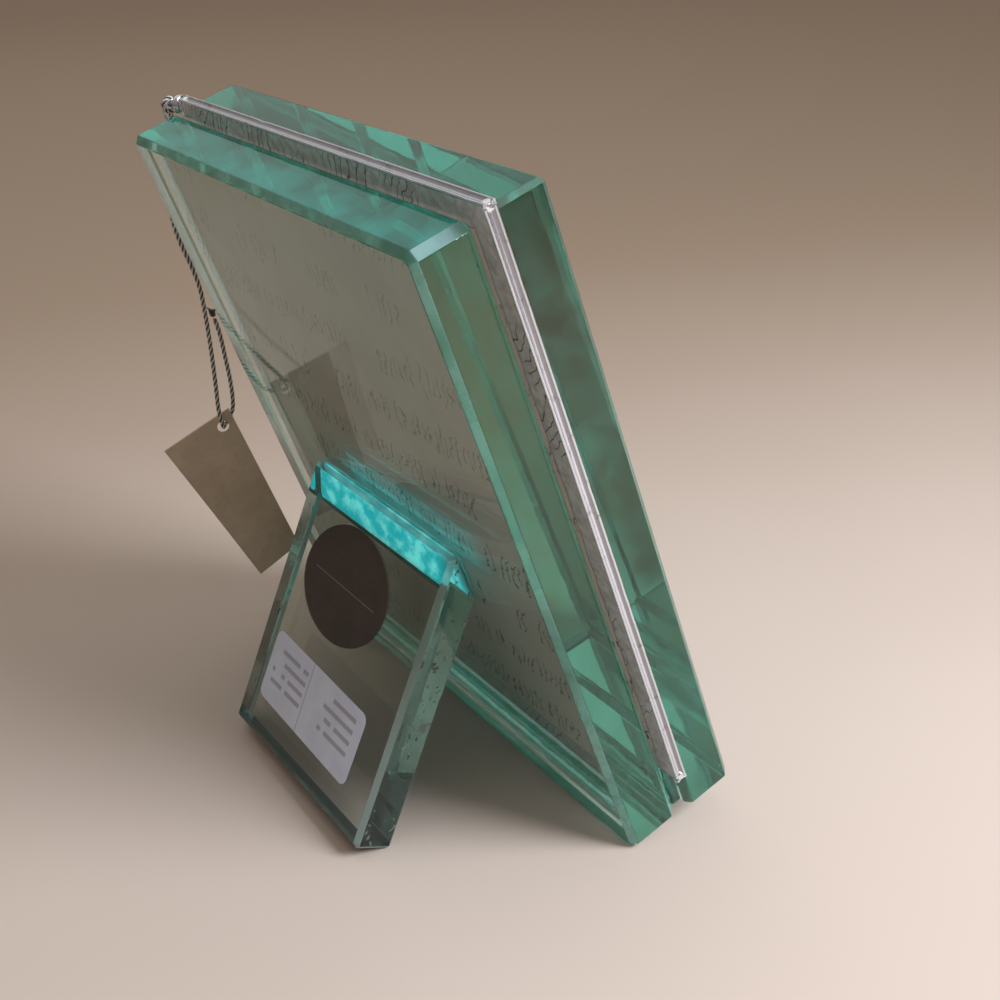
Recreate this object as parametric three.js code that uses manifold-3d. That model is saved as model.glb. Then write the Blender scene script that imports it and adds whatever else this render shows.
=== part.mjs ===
// A free-standing glass picture frame.
// Two thick bevelled glass plates lean back on a short glass leg bonded to the rear plate.
// A clear strip bonded low down between the plates keeps them apart and carries a slim
// metal-edged picture panel that lifts out of the open slot.
// The panel's top corner has a small pin with a wire coil, a ring with a cut bead, and a tag on a cord.
// Millimetres, +Z up, the picture side faces -Y, the leg is on the +Y side.
import * as THREE from "three";
import { mergeVertices } from "three/addons/utils/BufferGeometryUtils.js";
import Module from "manifold-3d";

// ---------------------------------------------------------------- driving dimensions
const PLATE_W = 100; // plate width
const PLATE_H = 119; // plate height along its own slope
const PLATE_T = 10; // glass thickness of both plates
const BEVEL = 1.05; // 45 degree bevel round both faces
const REAR_CORNER_CUT = 1.4; // flat ground on each corner of the rear plate outline
const FRONT_CORNER_CUT = 0.8; // the same on the front plate
const SLOT = 2.6; // clear slot between the plates
const REAR_FACE_Y = 9; // rear face of the rear plate, measured in the plate frame

const SPACER_W = 98; // strip between the plates
const SPACER_Z0 = 2.2; // its lower edge above the plates' lower edge
const SPACER_Z1 = 11.5; // its upper edge, which the panel stands on
const BOND_T = 0.22; // adhesive film on each side of the strip
const FILM_GAP = 0.04; // clearance between a film and the glass next to it

const LEG_W = 50; // leg width
const LEG_T = 8; // leg glass thickness
const LEG_BEVEL = 0.9; // bevel round the leg's faces
const LEG_ANGLE = 43; // degrees between the leg and the plates
const LEG_REAR_OFFSET = 45.95; // rear face of the leg from the plate frame's origin, along its normal
const LEG_END = 20.05; // lower end of the leg from the plate frame's origin, along the leg
const LEG_TOP_Z = 55.85; // blunt upper end of the leg, measured up the plate
const LEG_BOND_GAP = 0.4; // room for the leg's adhesive film
const LEG_BOND_T = 0.28; // thickness of that film
const LEG_BOND_RIM = 0.55; // adhesive squeezed out round the joint

const PANEL_X0 = -53.8; // picture panel, right end seen from behind
const PANEL_X1 = 47.8; // left end seen from behind
const PANEL_Z0 = 11.8; // lower edge, just above the strip
const PANEL_Z1 = 121.7; // upper edge, standing above the plates
const PANEL_T = 2; // over the metal edging
const EDGE_D = 0.95; // how far the edging wraps on to the front face
const EDGE_WEB = 0.42; // depth of the edging behind its outer face
const CARD_INSET = 0.5; // card edge below the outer face of the edging

const PIN_R = 0.5; // pin at the panel's top corner
const PIN_ROOT = [47.9, -2.3, 120.2]; // plate frame
const PIN_BALL = [54.4, -0.8, 119.85]; // centre of the ball on its end
const PIN_BALL_R = 0.9;
const COIL_R = 1.35; // mean radius of the wire coil on the pin
const COIL_WIRE_R = 0.36;
const COIL_TURNS = 2.05;
const COIL_PITCH = 0.78;
const COIL_START = 0.52; // first wire of the coil from the pin's root
const RING_X = 51.55; // hanging ring on the pin
const RING_R = 2.1;
const RING_WIRE_R = 0.22;
const BEAD_R = 0.8; // cut bead at the bottom of the hanging ring
const BEAD_HOLE_R = 0.4;
const BEAD_L = 1.4;

const CORD_R = 0.45; // tag cord
const HITCH_X = 52.95; // where the cord is tied round the pin
const HITCH_R = 1.18;
const TAG_TURN = 12; // degrees the tag is turned about the vertical
const TAG_HOLE = [54.6, 27.0, 51.2]; // centre of the tag's hole, above the plates' foot
// Tag corners from its hole: along the card and up. It hangs askew from a corner hole.
const TAG_TOP_NEAR = [-1.5, 3.75];
const TAG_TOP_FAR = [12.4, -3.4];
const TAG_END_NEAR = [-13.6, -30.6];
const TAG_END_FAR = [-4.1, -34.5];
const TAG_TWIST = 1.6; // the lower corners stand this far off the flat
const TAG_T = 0.5;
const TAG_HOLE_R = 1.25;
const KNOT_AT = [54.1, 26.7, 75.6]; // knot on the cord

const OVAL_A = 14.8; // oval sticker on the leg, half width
const OVAL_B = 10.75; // half height
const OVAL_X = 2.2;
const OVAL_S = 15.7; // centre, down the leg from its rear face's start
const LABEL_W = 35.6; // plain label on the leg
const LABEL_H = 13.9;
const LABEL_R = 1.8;
const LABEL_X = 1.0;
const LABEL_S = 38.9;
const STICKER_T = 0.12;
const STICKER_GAP = 0.03;

// ---------------------------------------------------------------- solids
const wasm = await Module();
wasm.setup();

function toSolid(geometry) {
  const g = geometry.index ? geometry.toNonIndexed() : geometry.clone();
  g.deleteAttribute("normal");
  g.deleteAttribute("uv");
  const m = mergeVertices(g, 1e-4);
  return new wasm.Manifold(
    new wasm.Mesh({
      numProp: 3,
      vertProperties: new Float32Array(m.attributes.position.array),
      triVerts: new Uint32Array(m.index.array),
    }),
  );
}

function toGeometry(solid) {
  const mesh = solid.getMesh();
  const n = mesh.numProp;
  const v = new Float32Array(mesh.numVert * 3);
  for (let i = 0; i < mesh.numVert; i++)
    v.set(mesh.vertProperties.subarray(i * n, i * n + 3), i * 3);
  const g = new THREE.BufferGeometry();
  g.setAttribute("position", new THREE.BufferAttribute(v, 3));
  g.setIndex(new THREE.BufferAttribute(new Uint32Array(mesh.triVerts), 1));
  g.computeVertexNormals();
  return g;
}

function material(color, roughness, metalness, opacity = 1) {
  return new THREE.MeshStandardMaterial({
    color,
    roughness,
    metalness,
    opacity,
    transparent: opacity < 1,
  });
}

function piece(group, name, geometry, mat) {
  const mesh = new THREE.Mesh(geometry, mat);
  mesh.name = name;
  group.add(mesh);
  return mesh;
}

// A rectangle with cut corners, centred on cx and running from y0 to y1.
function cutRectangle(w, y0, y1, cut, cx = 0) {
  const s = new THREE.Shape();
  const a = cx - w / 2;
  const b = cx + w / 2;
  s.moveTo(a + cut, y0);
  s.lineTo(b - cut, y0);
  s.lineTo(b, y0 + cut);
  s.lineTo(b, y1 - cut);
  s.lineTo(b - cut, y1);
  s.lineTo(a + cut, y1);
  s.lineTo(a, y1 - cut);
  s.lineTo(a, y0 + cut);
  s.closePath();
  return s;
}

function roundRectangle(w, h, r, n = 5) {
  const points = [];
  const corner = (cx, cy, a0) => {
    for (let i = 0; i <= n; i++) {
      const a = a0 + (Math.PI / 2) * (i / n);
      points.push(new THREE.Vector2(cx + r * Math.cos(a), cy + r * Math.sin(a)));
    }
  };
  corner(w / 2 - r, h / 2 - r, 0);
  corner(-w / 2 + r, h / 2 - r, Math.PI / 2);
  corner(-w / 2 + r, -h / 2 + r, Math.PI);
  corner(w / 2 - r, -h / 2 + r, 1.5 * Math.PI);
  return new THREE.Shape(points);
}

// A slab of the given outline with 45 degree bevels round both faces.
// The outline's x stays x, its y becomes z, and the slab fills y0 to y0 + t.
function bevelledSlab(shape, y0, t, bevel) {
  const g = new THREE.ExtrudeGeometry(shape, {
    depth: t - 2 * bevel,
    bevelEnabled: true,
    bevelThickness: bevel,
    bevelSize: bevel,
    bevelOffset: -bevel,
    bevelSegments: 1,
    steps: 1,
  });
  g.rotateX(Math.PI / 2);
  g.translate(0, y0 + t - bevel, 0);
  return g;
}

// A flat slab with square edges, in the same position as above.
function plainSlab(shape, y0, t) {
  const g = new THREE.ExtrudeGeometry(shape, { depth: t, bevelEnabled: false, steps: 1 });
  g.rotateX(Math.PI / 2);
  g.translate(0, y0 + t, 0);
  return g;
}

function boxBetween(x0, x1, y0, y1, z0, z1) {
  const g = new THREE.BoxGeometry(x1 - x0, y1 - y0, z1 - z0);
  g.translate((x0 + x1) / 2, (y0 + y1) / 2, (z0 + z1) / 2);
  return g;
}

function circleShape(r, sides) {
  const points = [];
  for (let i = 0; i < sides; i++) {
    const a = (2 * Math.PI * i) / sides;
    points.push(new THREE.Vector2(r * Math.cos(a), r * Math.sin(a)));
  }
  return new THREE.Shape(points);
}

function tube(curve, r, sides, steps) {
  return new THREE.ExtrudeGeometry(circleShape(r, sides), {
    steps,
    bevelEnabled: false,
    extrudePath: curve,
  });
}

// ---------------------------------------------------------------- finishes
const GLASS = () => material(0xbfe3d6, 0.03, 0, 0.35);
const FILM = () => material(0x9fe0da, 0.2, 0, 0.6);
const SILVER = () => material(0xc4c4cb, 0.28, 1);

// ---------------------------------------------------------------- the leaning assembly
const lean = new THREE.Group(); // plate frame: x across, y towards the rear, z up the plates
const frontY1 = REAR_FACE_Y - PLATE_T - SLOT; // inner face of the front plate
const rearY0 = REAR_FACE_Y - PLATE_T; // inner face of the rear plate

piece(
  lean,
  "rear_plate",
  bevelledSlab(cutRectangle(PLATE_W, 0, PLATE_H, REAR_CORNER_CUT), rearY0, PLATE_T, BEVEL),
  GLASS(),
);
piece(
  lean,
  "front_plate",
  bevelledSlab(cutRectangle(PLATE_W, 0, PLATE_H, FRONT_CORNER_CUT), frontY1 - PLATE_T, PLATE_T, BEVEL),
  GLASS(),
);

// Strip between the plates, with a film of adhesive on each face.
const stripY0 = frontY1 + BOND_T + 2 * FILM_GAP;
const stripY1 = rearY0 - BOND_T - 2 * FILM_GAP;
piece(
  lean,
  "spacer_strip",
  bevelledSlab(cutRectangle(SPACER_W, SPACER_Z0, SPACER_Z1, 0.3), stripY0, stripY1 - stripY0, 0.25),
  material(0xcfeae2, 0.06, 0, 0.4),
);
piece(
  lean,
  "spacer_bond_front",
  plainSlab(
    cutRectangle(SPACER_W - 1.2, SPACER_Z0 + 0.6, SPACER_Z1 - 0.6, 0.4),
    frontY1 + FILM_GAP,
    BOND_T,
  ),
  FILM(),
);
piece(
  lean,
  "spacer_bond_rear",
  plainSlab(
    cutRectangle(SPACER_W - 1.2, SPACER_Z0 + 0.6, SPACER_Z1 - 0.6, 0.4),
    rearY0 - FILM_GAP - BOND_T,
    BOND_T,
  ),
  FILM(),
);

// Leg: a bevelled slab turned to its angle, then mitred to lie flat against the rear plate.
const legA = THREE.MathUtils.degToRad(LEG_ANGLE);
const legDown = new THREE.Vector3(0, Math.sin(legA), -Math.cos(legA));
const legOut = new THREE.Vector3(0, Math.cos(legA), Math.sin(legA));
const LEG_LONG = 80; // blank length before the mitre cut
// Slab coordinates: x across, y out of the rear face, z up the leg.
const legMatrix = new THREE.Matrix4().makeBasis(
  new THREE.Vector3(1, 0, 0),
  legOut,
  legDown.clone().negate(),
);
const legBlank = bevelledSlab(
  cutRectangle(LEG_W, 0, LEG_LONG, 0.7),
  -LEG_T,
  LEG_T,
  LEG_BEVEL,
);
const legOrigin = legOut
  .clone()
  .multiplyScalar(LEG_REAR_OFFSET)
  .add(legDown.clone().multiplyScalar(LEG_END));
legBlank.applyMatrix4(legMatrix);
legBlank.translate(legOrigin.x, legOrigin.y, legOrigin.z);
const mitreY = REAR_FACE_Y + LEG_BOND_GAP;
const legSolid = toSolid(legBlank)
  .subtract(toSolid(boxBetween(-80, 80, mitreY - 120, mitreY, -80, 200)))
  .subtract(toSolid(boxBetween(-80, 80, -120, 120, LEG_TOP_Z, 260)));
piece(lean, "support_leg", toGeometry(legSolid), GLASS());

// Foot of the mitre on the rear plate, from the leg's front face.
const legFrontOffset = LEG_REAR_OFFSET - LEG_T;
const mitreFootZ = (legFrontOffset - mitreY * Math.cos(legA)) / Math.sin(legA);
piece(
  lean,
  "leg_bond",
  plainSlab(
    cutRectangle(
      LEG_W - 2 * LEG_BEVEL + 2 * LEG_BOND_RIM,
      mitreFootZ + 0.3,
      LEG_TOP_Z + LEG_BOND_RIM,
      1.4,
    ),
    REAR_FACE_Y + (LEG_BOND_GAP - LEG_BOND_T) / 2,
    LEG_BOND_T,
  ),
  FILM(),
);

// Stickers on the leg's rear face, in slab coordinates measured down from the blunt top.
const legTopS =
  (LEG_TOP_Z - legOut.z * LEG_REAR_OFFSET) / legDown.z; // position of the blunt top along the leg
const legFrame = new THREE.Group();
legFrame.applyMatrix4(
  new THREE.Matrix4()
    .makeTranslation(
      legOut.x * LEG_REAR_OFFSET,
      legOut.y * LEG_REAR_OFFSET,
      legOut.z * LEG_REAR_OFFSET,
    )
    .multiply(legMatrix),
);
lean.add(legFrame);
const ovalPoints = [];
for (let i = 0; i < 48; i++) {
  const a = (2 * Math.PI * i) / 48;
  ovalPoints.push(new THREE.Vector2(OVAL_A * Math.cos(a), OVAL_B * Math.sin(a)));
}
const oval = piece(
  legFrame,
  "oval_sticker",
  plainSlab(new THREE.Shape(ovalPoints), 0, STICKER_T),
  material(0x2f2a2b, 0.55, 0),
);
oval.position.set(OVAL_X, STICKER_GAP, -(legTopS + OVAL_S));
oval.rotation.y = THREE.MathUtils.degToRad(3.5);
const label = piece(
  legFrame,
  "plain_label",
  plainSlab(roundRectangle(LABEL_W, LABEL_H, LABEL_R), 0, STICKER_T),
  material(0xbeb9c2, 0.5, 0),
);
label.position.set(LABEL_X, STICKER_GAP, -(legTopS + LABEL_S));
label.rotation.y = THREE.MathUtils.degToRad(-1.2);

// ---------------------------------------------------------------- picture panel
const panel = new THREE.Group();
lean.add(panel);
const panelY = (rearY0 + frontY1) / 2;
// Section of the metal edging, an angle with a lip over the front face:
// a across the thickness from front to rear, b inwards from the outer face.
const h = PANEL_T / 2;
const section = [
  [-h, 0.12],
  [-h + 0.12, 0],
  [-h + 0.32, 0],
  [-h + 0.5, 0.16],
  [h - 0.5, 0.16],
  [h - 0.32, 0],
  [h - 0.12, 0],
  [h, 0.12],
  [h, EDGE_WEB],
  [-h + 0.3, EDGE_WEB],
  [-h + 0.3, EDGE_D],
  [-h, EDGE_D],
];
function edging(length) {
  const g = new THREE.ExtrudeGeometry(
    new THREE.Shape(section.map(([a, b]) => new THREE.Vector2(a, b))),
    { depth: length, bevelEnabled: false, steps: 1 },
  );
  g.translate(0, 0, -length / 2);
  return g; // x across the thickness, y inwards, z along the length
}
function placeEdging(name, length, inward, centre) {
  const across = new THREE.Vector3(0, 1, 0); // from front to rear
  const along = new THREE.Vector3().crossVectors(across, inward);
  const g = edging(length);
  g.applyMatrix4(new THREE.Matrix4().makeBasis(across, inward, along));
  g.translate(centre.x, centre.y, centre.z);
  piece(panel, name, g, SILVER());
}
const midX = (PANEL_X0 + PANEL_X1) / 2;
const midZ = (PANEL_Z0 + PANEL_Z1) / 2;
const JOIN = 0.06; // clearance where the four edgings meet
const sideLength = PANEL_Z1 - PANEL_Z0 - 2 * (EDGE_D + JOIN);
placeEdging(
  "panel_edge_top",
  PANEL_X1 - PANEL_X0,
  new THREE.Vector3(0, 0, -1),
  new THREE.Vector3(midX, panelY, PANEL_Z1),
);
placeEdging(
  "panel_edge_bottom",
  PANEL_X1 - PANEL_X0,
  new THREE.Vector3(0, 0, 1),
  new THREE.Vector3(midX, panelY, PANEL_Z0),
);
placeEdging(
  "panel_edge_right",
  sideLength,
  new THREE.Vector3(1, 0, 0),
  new THREE.Vector3(PANEL_X0, panelY, midZ),
);
placeEdging(
  "panel_edge_left",
  sideLength,
  new THREE.Vector3(-1, 0, 0),
  new THREE.Vector3(PANEL_X1, panelY, midZ),
);
const cardShape = () =>
  cutRectangle(
    PANEL_X1 - PANEL_X0 - 2 * CARD_INSET,
    PANEL_Z0 + CARD_INSET,
    PANEL_Z1 - CARD_INSET,
    0.6,
    midX,
  );
piece(panel, "panel_cover", plainSlab(cardShape(), panelY - 0.64, 0.4), material(0xe8eeee, 0.08, 0, 0.3));
piece(panel, "picture_card", plainSlab(cardShape(), panelY - 0.17, 0.27), material(0xe6e2da, 0.6, 0));
piece(panel, "backing_card", plainSlab(cardShape(), panelY + 0.16, 0.78), material(0x7d7368, 0.8, 0));

// Pin at the panel's top corner, with its ball end; it points sideways out of the panel.
const pinRoot = new THREE.Vector3(...PIN_ROOT);
const pinEnd = new THREE.Vector3(...PIN_BALL);
const pinAxis = pinEnd.clone().sub(pinRoot).normalize();
const pinLength = pinEnd.distanceTo(pinRoot);
const ballStart = Math.asin(PIN_R / PIN_BALL_R);
const pinProfile = [
  new THREE.Vector2(0, 0),
  new THREE.Vector2(PIN_R, 0),
  new THREE.Vector2(PIN_R, pinLength - PIN_BALL_R * Math.cos(ballStart)),
];
for (let i = 1; i <= 8; i++) {
  const a = ballStart + (Math.PI - ballStart) * (i / 8);
  pinProfile.push(
    new THREE.Vector2(i === 8 ? 0 : PIN_BALL_R * Math.sin(a), pinLength - PIN_BALL_R * Math.cos(a)),
  );
}
const alongPin = new THREE.Matrix4()
  .makeTranslation(pinRoot.x, pinRoot.y, pinRoot.z)
  .multiply(
    new THREE.Matrix4().makeRotationFromQuaternion(
      new THREE.Quaternion().setFromUnitVectors(new THREE.Vector3(0, 1, 0), pinAxis),
    ),
  );
const pinGeometry = new THREE.LatheGeometry(pinProfile, 16);
pinGeometry.applyMatrix4(alongPin);
piece(panel, "hanger_pin", pinGeometry, SILVER());

class Coil extends THREE.Curve {
  getPoint(t, target = new THREE.Vector3()) {
    const a = 2 * Math.PI * COIL_TURNS * t + 0.9;
    return target.set(
      COIL_R * Math.cos(a),
      COIL_START + COIL_PITCH * COIL_TURNS * t,
      COIL_R * Math.sin(a),
    );
  }
}
const coil = tube(new Coil(), COIL_WIRE_R, 8, 46);
coil.applyMatrix4(alongPin);
piece(panel, "wire_coil", coil, SILVER());

// ---------------------------------------------------------------- standing on the table
// The lean is the one that rests the rear plate's lower rear edge and the leg's lower front edge on one plane.
const plateFootY = REAR_FACE_Y - BEVEL;
const legFoot = legOrigin.clone().add(legOut.clone().multiplyScalar(-(LEG_T - LEG_BEVEL)));
const leanAngle = Math.atan2(legFoot.z, legFoot.y - plateFootY);
lean.rotation.x = -leanAngle;
lean.position.set(
  0,
  -plateFootY * Math.cos(leanAngle),
  plateFootY * Math.sin(leanAngle),
);
const upright = (x, y, z) => {
  const p = new THREE.Vector3(x, y, z).applyAxisAngle(new THREE.Vector3(1, 0, 0), -leanAngle);
  return p.add(lean.position);
};
// Point on the pin's axis at a given x, above the plates' foot.
const onPin = (x) => {
  const p = pinRoot.clone().add(pinAxis.clone().multiplyScalar((x - pinRoot.x) / pinAxis.x));
  return upright(p.x, p.y, p.z);
};

// ---------------------------------------------------------------- what hangs on the pin
const hanging = new THREE.Group();
const ringOn = onPin(RING_X);
const ringZ = ringOn.z + PIN_R + 0.15 - (RING_R - RING_WIRE_R);
const ring = new THREE.TorusGeometry(RING_R, RING_WIRE_R, 8, 36);
ring.rotateY(Math.PI / 2);
ring.translate(RING_X, ringOn.y, ringZ);
piece(hanging, "hanging_ring", ring, SILVER());
const beadProfile = [
  [BEAD_HOLE_R, -BEAD_L / 2],
  [BEAD_R * 0.62, -BEAD_L / 2],
  [BEAD_R, -BEAD_L * 0.14],
  [BEAD_R, BEAD_L * 0.14],
  [BEAD_R * 0.62, BEAD_L / 2],
  [BEAD_HOLE_R, BEAD_L / 2],
  [BEAD_HOLE_R, -BEAD_L / 2],
].map(([x, y]) => new THREE.Vector2(x, y));
const bead = new THREE.LatheGeometry(beadProfile, 10);
bead.translate(RING_X, ringOn.y, ringZ - RING_R);
piece(hanging, "cut_bead", bead, material(0xbfe6ee, 0.05, 0, 0.5));

// Tag: a thin card with a slight twist, hung by a hole near its corner.
const turn = THREE.MathUtils.degToRad(TAG_TURN);
const tagOut = new THREE.Vector3(-Math.cos(turn), Math.sin(turn), 0);
const tagAcross = new THREE.Vector3(Math.sin(turn), Math.cos(turn), 0);
const tagUp = new THREE.Vector3(0, 0, 1);
const holeAt = new THREE.Vector3(...TAG_HOLE);
// A place near the hole: out of the card, across it and up.
const near = (out, across, up) =>
  holeAt
    .clone()
    .add(tagOut.clone().multiplyScalar(out))
    .add(tagAcross.clone().multiplyScalar(across))
    .add(tagUp.clone().multiplyScalar(up));
const mix = (p, q, k) => [p[0] + (q[0] - p[0]) * k, p[1] + (q[1] - p[1]) * k];
const card = new THREE.BoxGeometry(1, 1, 1, 6, 14, 1);
const cardPoints = card.attributes.position;
for (let i = 0; i < cardPoints.count; i++) {
  const a = cardPoints.getX(i) + 0.5; // 0 on the near long edge
  const d = 0.5 - cardPoints.getY(i); // 0 on the upper edge
  const [across, up] = mix(
    mix(TAG_TOP_NEAR, TAG_TOP_FAR, a),
    mix(TAG_END_NEAR, TAG_END_FAR, a),
    d,
  );
  const low = Math.max(0, d - 0.25) / 0.75;
  const out = (a - 0.5) * 2 * TAG_TWIST * low * low - cardPoints.getZ(i) * TAG_T;
  const p = near(out, across, up);
  cardPoints.setXYZ(i, p.x, p.y, p.z);
}
const holeCutter = new THREE.CylinderGeometry(TAG_HOLE_R, TAG_HOLE_R, 6, 16);
holeCutter.applyMatrix4(
  new THREE.Matrix4().makeRotationFromQuaternion(
    new THREE.Quaternion().setFromUnitVectors(new THREE.Vector3(0, 1, 0), tagOut),
  ),
);
holeCutter.translate(holeAt.x, holeAt.y, holeAt.z);
piece(
  hanging,
  "hang_tag",
  toGeometry(toSolid(card).subtract(toSolid(holeCutter))),
  material(0x76664f, 0.75, 0),
);

// Cord: from the hitch on the pin down to the tag, through its hole, and up again to the knot.
const hitchAt = onPin(HITCH_X);
const cordTop = new THREE.Vector3(HITCH_X, hitchAt.y, hitchAt.z - HITCH_R - CORD_R - 0.12);
const knotAt = new THREE.Vector3(...KNOT_AT);
const CORD_ROUTE = [
  cordTop,
  new THREE.Vector3(53.0, 30.95, 111.5),
  new THREE.Vector3(53.15, 31.75, 107.0),
  new THREE.Vector3(53.45, 32.5, 102.0),
  new THREE.Vector3(53.8, 32.75, 97.5),
  new THREE.Vector3(54.0, 32.2, 93.2),
  new THREE.Vector3(54.0, 31.2, 89.4),
  new THREE.Vector3(54.0, 29.85, 85.4),
  new THREE.Vector3(54.0, 28.75, 81.0),
  new THREE.Vector3(54.0, 28.25, 75.4),
  new THREE.Vector3(53.95, 27.95, 68.2),
  new THREE.Vector3(53.75, 27.9, 59.3),
  near(1.35, 0.75, 4.2),
  near(1.35, 0.45, 1.9),
  near(0.85, 0.1, 0.25),
  near(0.0, -0.2, -0.05),
  near(-0.95, -0.75, 0.1),
  near(-1.6, -1.75, 1.05),
  near(-1.65, -2.6, 2.9),
  new THREE.Vector3(55.3, 24.0, 57.0),
  new THREE.Vector3(54.9, 24.3, 61.0),
  new THREE.Vector3(54.55, 24.95, 66.0),
  new THREE.Vector3(54.3, 25.6, 70.9),
  knotAt.clone().add(new THREE.Vector3(0.05, -0.35, -1.5)),
];
const cordCurve = new THREE.CatmullRomCurve3(CORD_ROUTE, false, "centripetal");
piece(hanging, "tag_cord", tube(cordCurve, CORD_R, 8, 78), material(0x8d8a86, 0.45, 0.3));

const hitch = new THREE.TorusGeometry(HITCH_R, CORD_R, 8, 20);
hitch.rotateY(Math.PI / 2);
hitch.translate(HITCH_X, hitchAt.y, hitchAt.z);
piece(hanging, "cord_hitch", hitch, material(0x8d8a86, 0.45, 0.3));

const knot = new THREE.SphereGeometry(1, 12, 8);
knot.scale(0.85, 0.9, 1.05);
knot.translate(knotAt.x, knotAt.y, knotAt.z);
piece(hanging, "cord_knot", knot, material(0x2a2826, 0.6, 0.1));

// ---------------------------------------------------------------- origin at the middle of the base
const CORD_PIECES = ["tag_cord", "cord_hitch", "cord_knot", "hang_tag"];
const glassPictureFrame = new THREE.Group();
const standing = new THREE.Group();
standing.add(lean, hanging);
standing.updateMatrixWorld(true);
const bounds = new THREE.Box3();
standing.traverse((o) => {
  if (o.isMesh && !CORD_PIECES.includes(o.name)) bounds.expandByObject(o, true);
});
standing.position.set(
  -(bounds.min.x + bounds.max.x) / 2,
  -(bounds.min.y + bounds.max.y) / 2,
  -bounds.min.z,
);
glassPictureFrame.add(standing);

export default glassPictureFrame;
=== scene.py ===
"""Looks of a leaning glass picture frame: two thick bevelled plates on a bonded glass leg,
a slim metal-edged panel standing in the slot between them, and a card tag on a twisted cord.
Metres, +Z up, the picture side faces -Y and the leg is on the +Y side.
"""

import math

import bmesh
import bpy
import numpy as np
from mathutils import Matrix, Vector, noise


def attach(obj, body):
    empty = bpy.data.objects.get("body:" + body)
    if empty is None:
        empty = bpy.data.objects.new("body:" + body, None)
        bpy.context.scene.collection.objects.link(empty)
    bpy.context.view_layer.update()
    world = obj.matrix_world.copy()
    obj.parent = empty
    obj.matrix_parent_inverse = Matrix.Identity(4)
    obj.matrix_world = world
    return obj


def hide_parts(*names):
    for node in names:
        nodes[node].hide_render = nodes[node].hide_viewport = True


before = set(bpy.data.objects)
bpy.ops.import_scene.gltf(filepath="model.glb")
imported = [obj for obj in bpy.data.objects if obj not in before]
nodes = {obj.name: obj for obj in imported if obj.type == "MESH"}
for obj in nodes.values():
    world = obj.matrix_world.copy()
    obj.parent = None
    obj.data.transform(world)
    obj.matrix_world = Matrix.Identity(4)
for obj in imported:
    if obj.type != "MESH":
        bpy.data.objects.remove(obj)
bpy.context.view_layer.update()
scene = bpy.context.scene

# ------------------------------------------------------------------ frames of the object
SIN, COS = 0.3274883528217978, 0.9448552157690964  # lean of the plates
SHIFT = Vector((-0.7477874755859375, -11.119689492458665, 0.0))  # mm
LEAN = Vector((0.0, -7.511598965364317, 2.603532404933292)) + SHIFT  # mm
LEG_A = math.radians(43)
X0, X1, Z0, Z1 = -53.8, 47.8, 11.8, 121.7  # outline of the panel in the plates' frame, mm
PANEL_Y = -2.3


def plate(x, y, z):
    """A point of the plates' own frame in mm (across, towards the rear, up the plate)."""
    return (Vector((x, COS * y + SIN * z, COS * z - SIN * y)) + LEAN) * 0.001


def turned(x, y, z):
    """A direction of the plates' own frame."""
    return Vector((x, COS * y + SIN * z, COS * z - SIN * y))


def hung(x, y, z):
    """A point of what hangs plumb, in mm above the plates' foot."""
    return (Vector((x, y, z)) + SHIFT) * 0.001


PLATE_N = turned(0, 1, 0)
PLATE_UP = turned(0, 0, 1)
LEG_DOWN = turned(0, math.sin(LEG_A), -math.cos(LEG_A))
LEG_OUT = turned(0, math.cos(LEG_A), math.sin(LEG_A))
LEG_FOOT = (20.05 + LEAN.dot(LEG_DOWN)) * 0.001  # lower end of the leg, measured down it

# ------------------------------------------------------------------ camera
cam_data = bpy.data.cameras.new("view_camera")
cam_data.sensor_width = 36.0
cam_data.lens = 50.183
cam_data.clip_start, cam_data.clip_end = 0.01, 60.0
camera = bpy.data.objects.new("view_camera", cam_data)
scene.collection.objects.link(camera)
camera.matrix_world = Matrix(
    (
        (-0.54988766, 0.34785043, -0.75935738, -0.20011079),
        (-0.83495204, -0.25274641, 0.48885003, 0.11220378),
        (-0.02187816, 0.90283959, 0.42942056, 0.15922651),
        (0.0, 0.0, 0.0, 1.0),
    )
)
scene.camera = camera


# ------------------------------------------------------------------ mesh helpers
def mesh_piece(name, verts, faces, smooth=40.0, materials=None, index=None):
    me = bpy.data.meshes.new(name)
    me.from_pydata([tuple(v) for v in verts], [], faces)
    bm = bmesh.new()
    bm.from_mesh(me)
    if index is not None:
        for f, i in zip(bm.faces, index):
            f.material_index = i
    bmesh.ops.recalc_face_normals(bm, faces=bm.faces)
    for f in bm.faces:
        f.smooth = True
    bm.to_mesh(me)
    bm.free()
    me.set_sharp_from_angle(angle=math.radians(smooth))
    for m in materials or []:
        me.materials.append(m)
    ob = bpy.data.objects.new(name, me)
    scene.collection.objects.link(ob)
    return ob


def transport(points, closed=False):
    """Tangent and two normals at each point of a line, turning as little as possible."""
    n = len(points)
    tang = []
    for i in range(n):
        a = points[(i - 1) % n] if closed or i > 0 else points[i]
        b = points[(i + 1) % n] if closed or i < n - 1 else points[i]
        tang.append((b - a).normalized())
    ref = Vector((0, 0, 1)) if abs(tang[0].z) < 0.8 else Vector((1, 0, 0))
    u = (ref - tang[0] * ref.dot(tang[0])).normalized()
    rows = []
    for i in range(n):
        if i:
            u = u - tang[i] * u.dot(tang[i])
            u.normalize()
        rows.append((tang[i], u.copy(), tang[i].cross(u)))
    return rows


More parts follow.
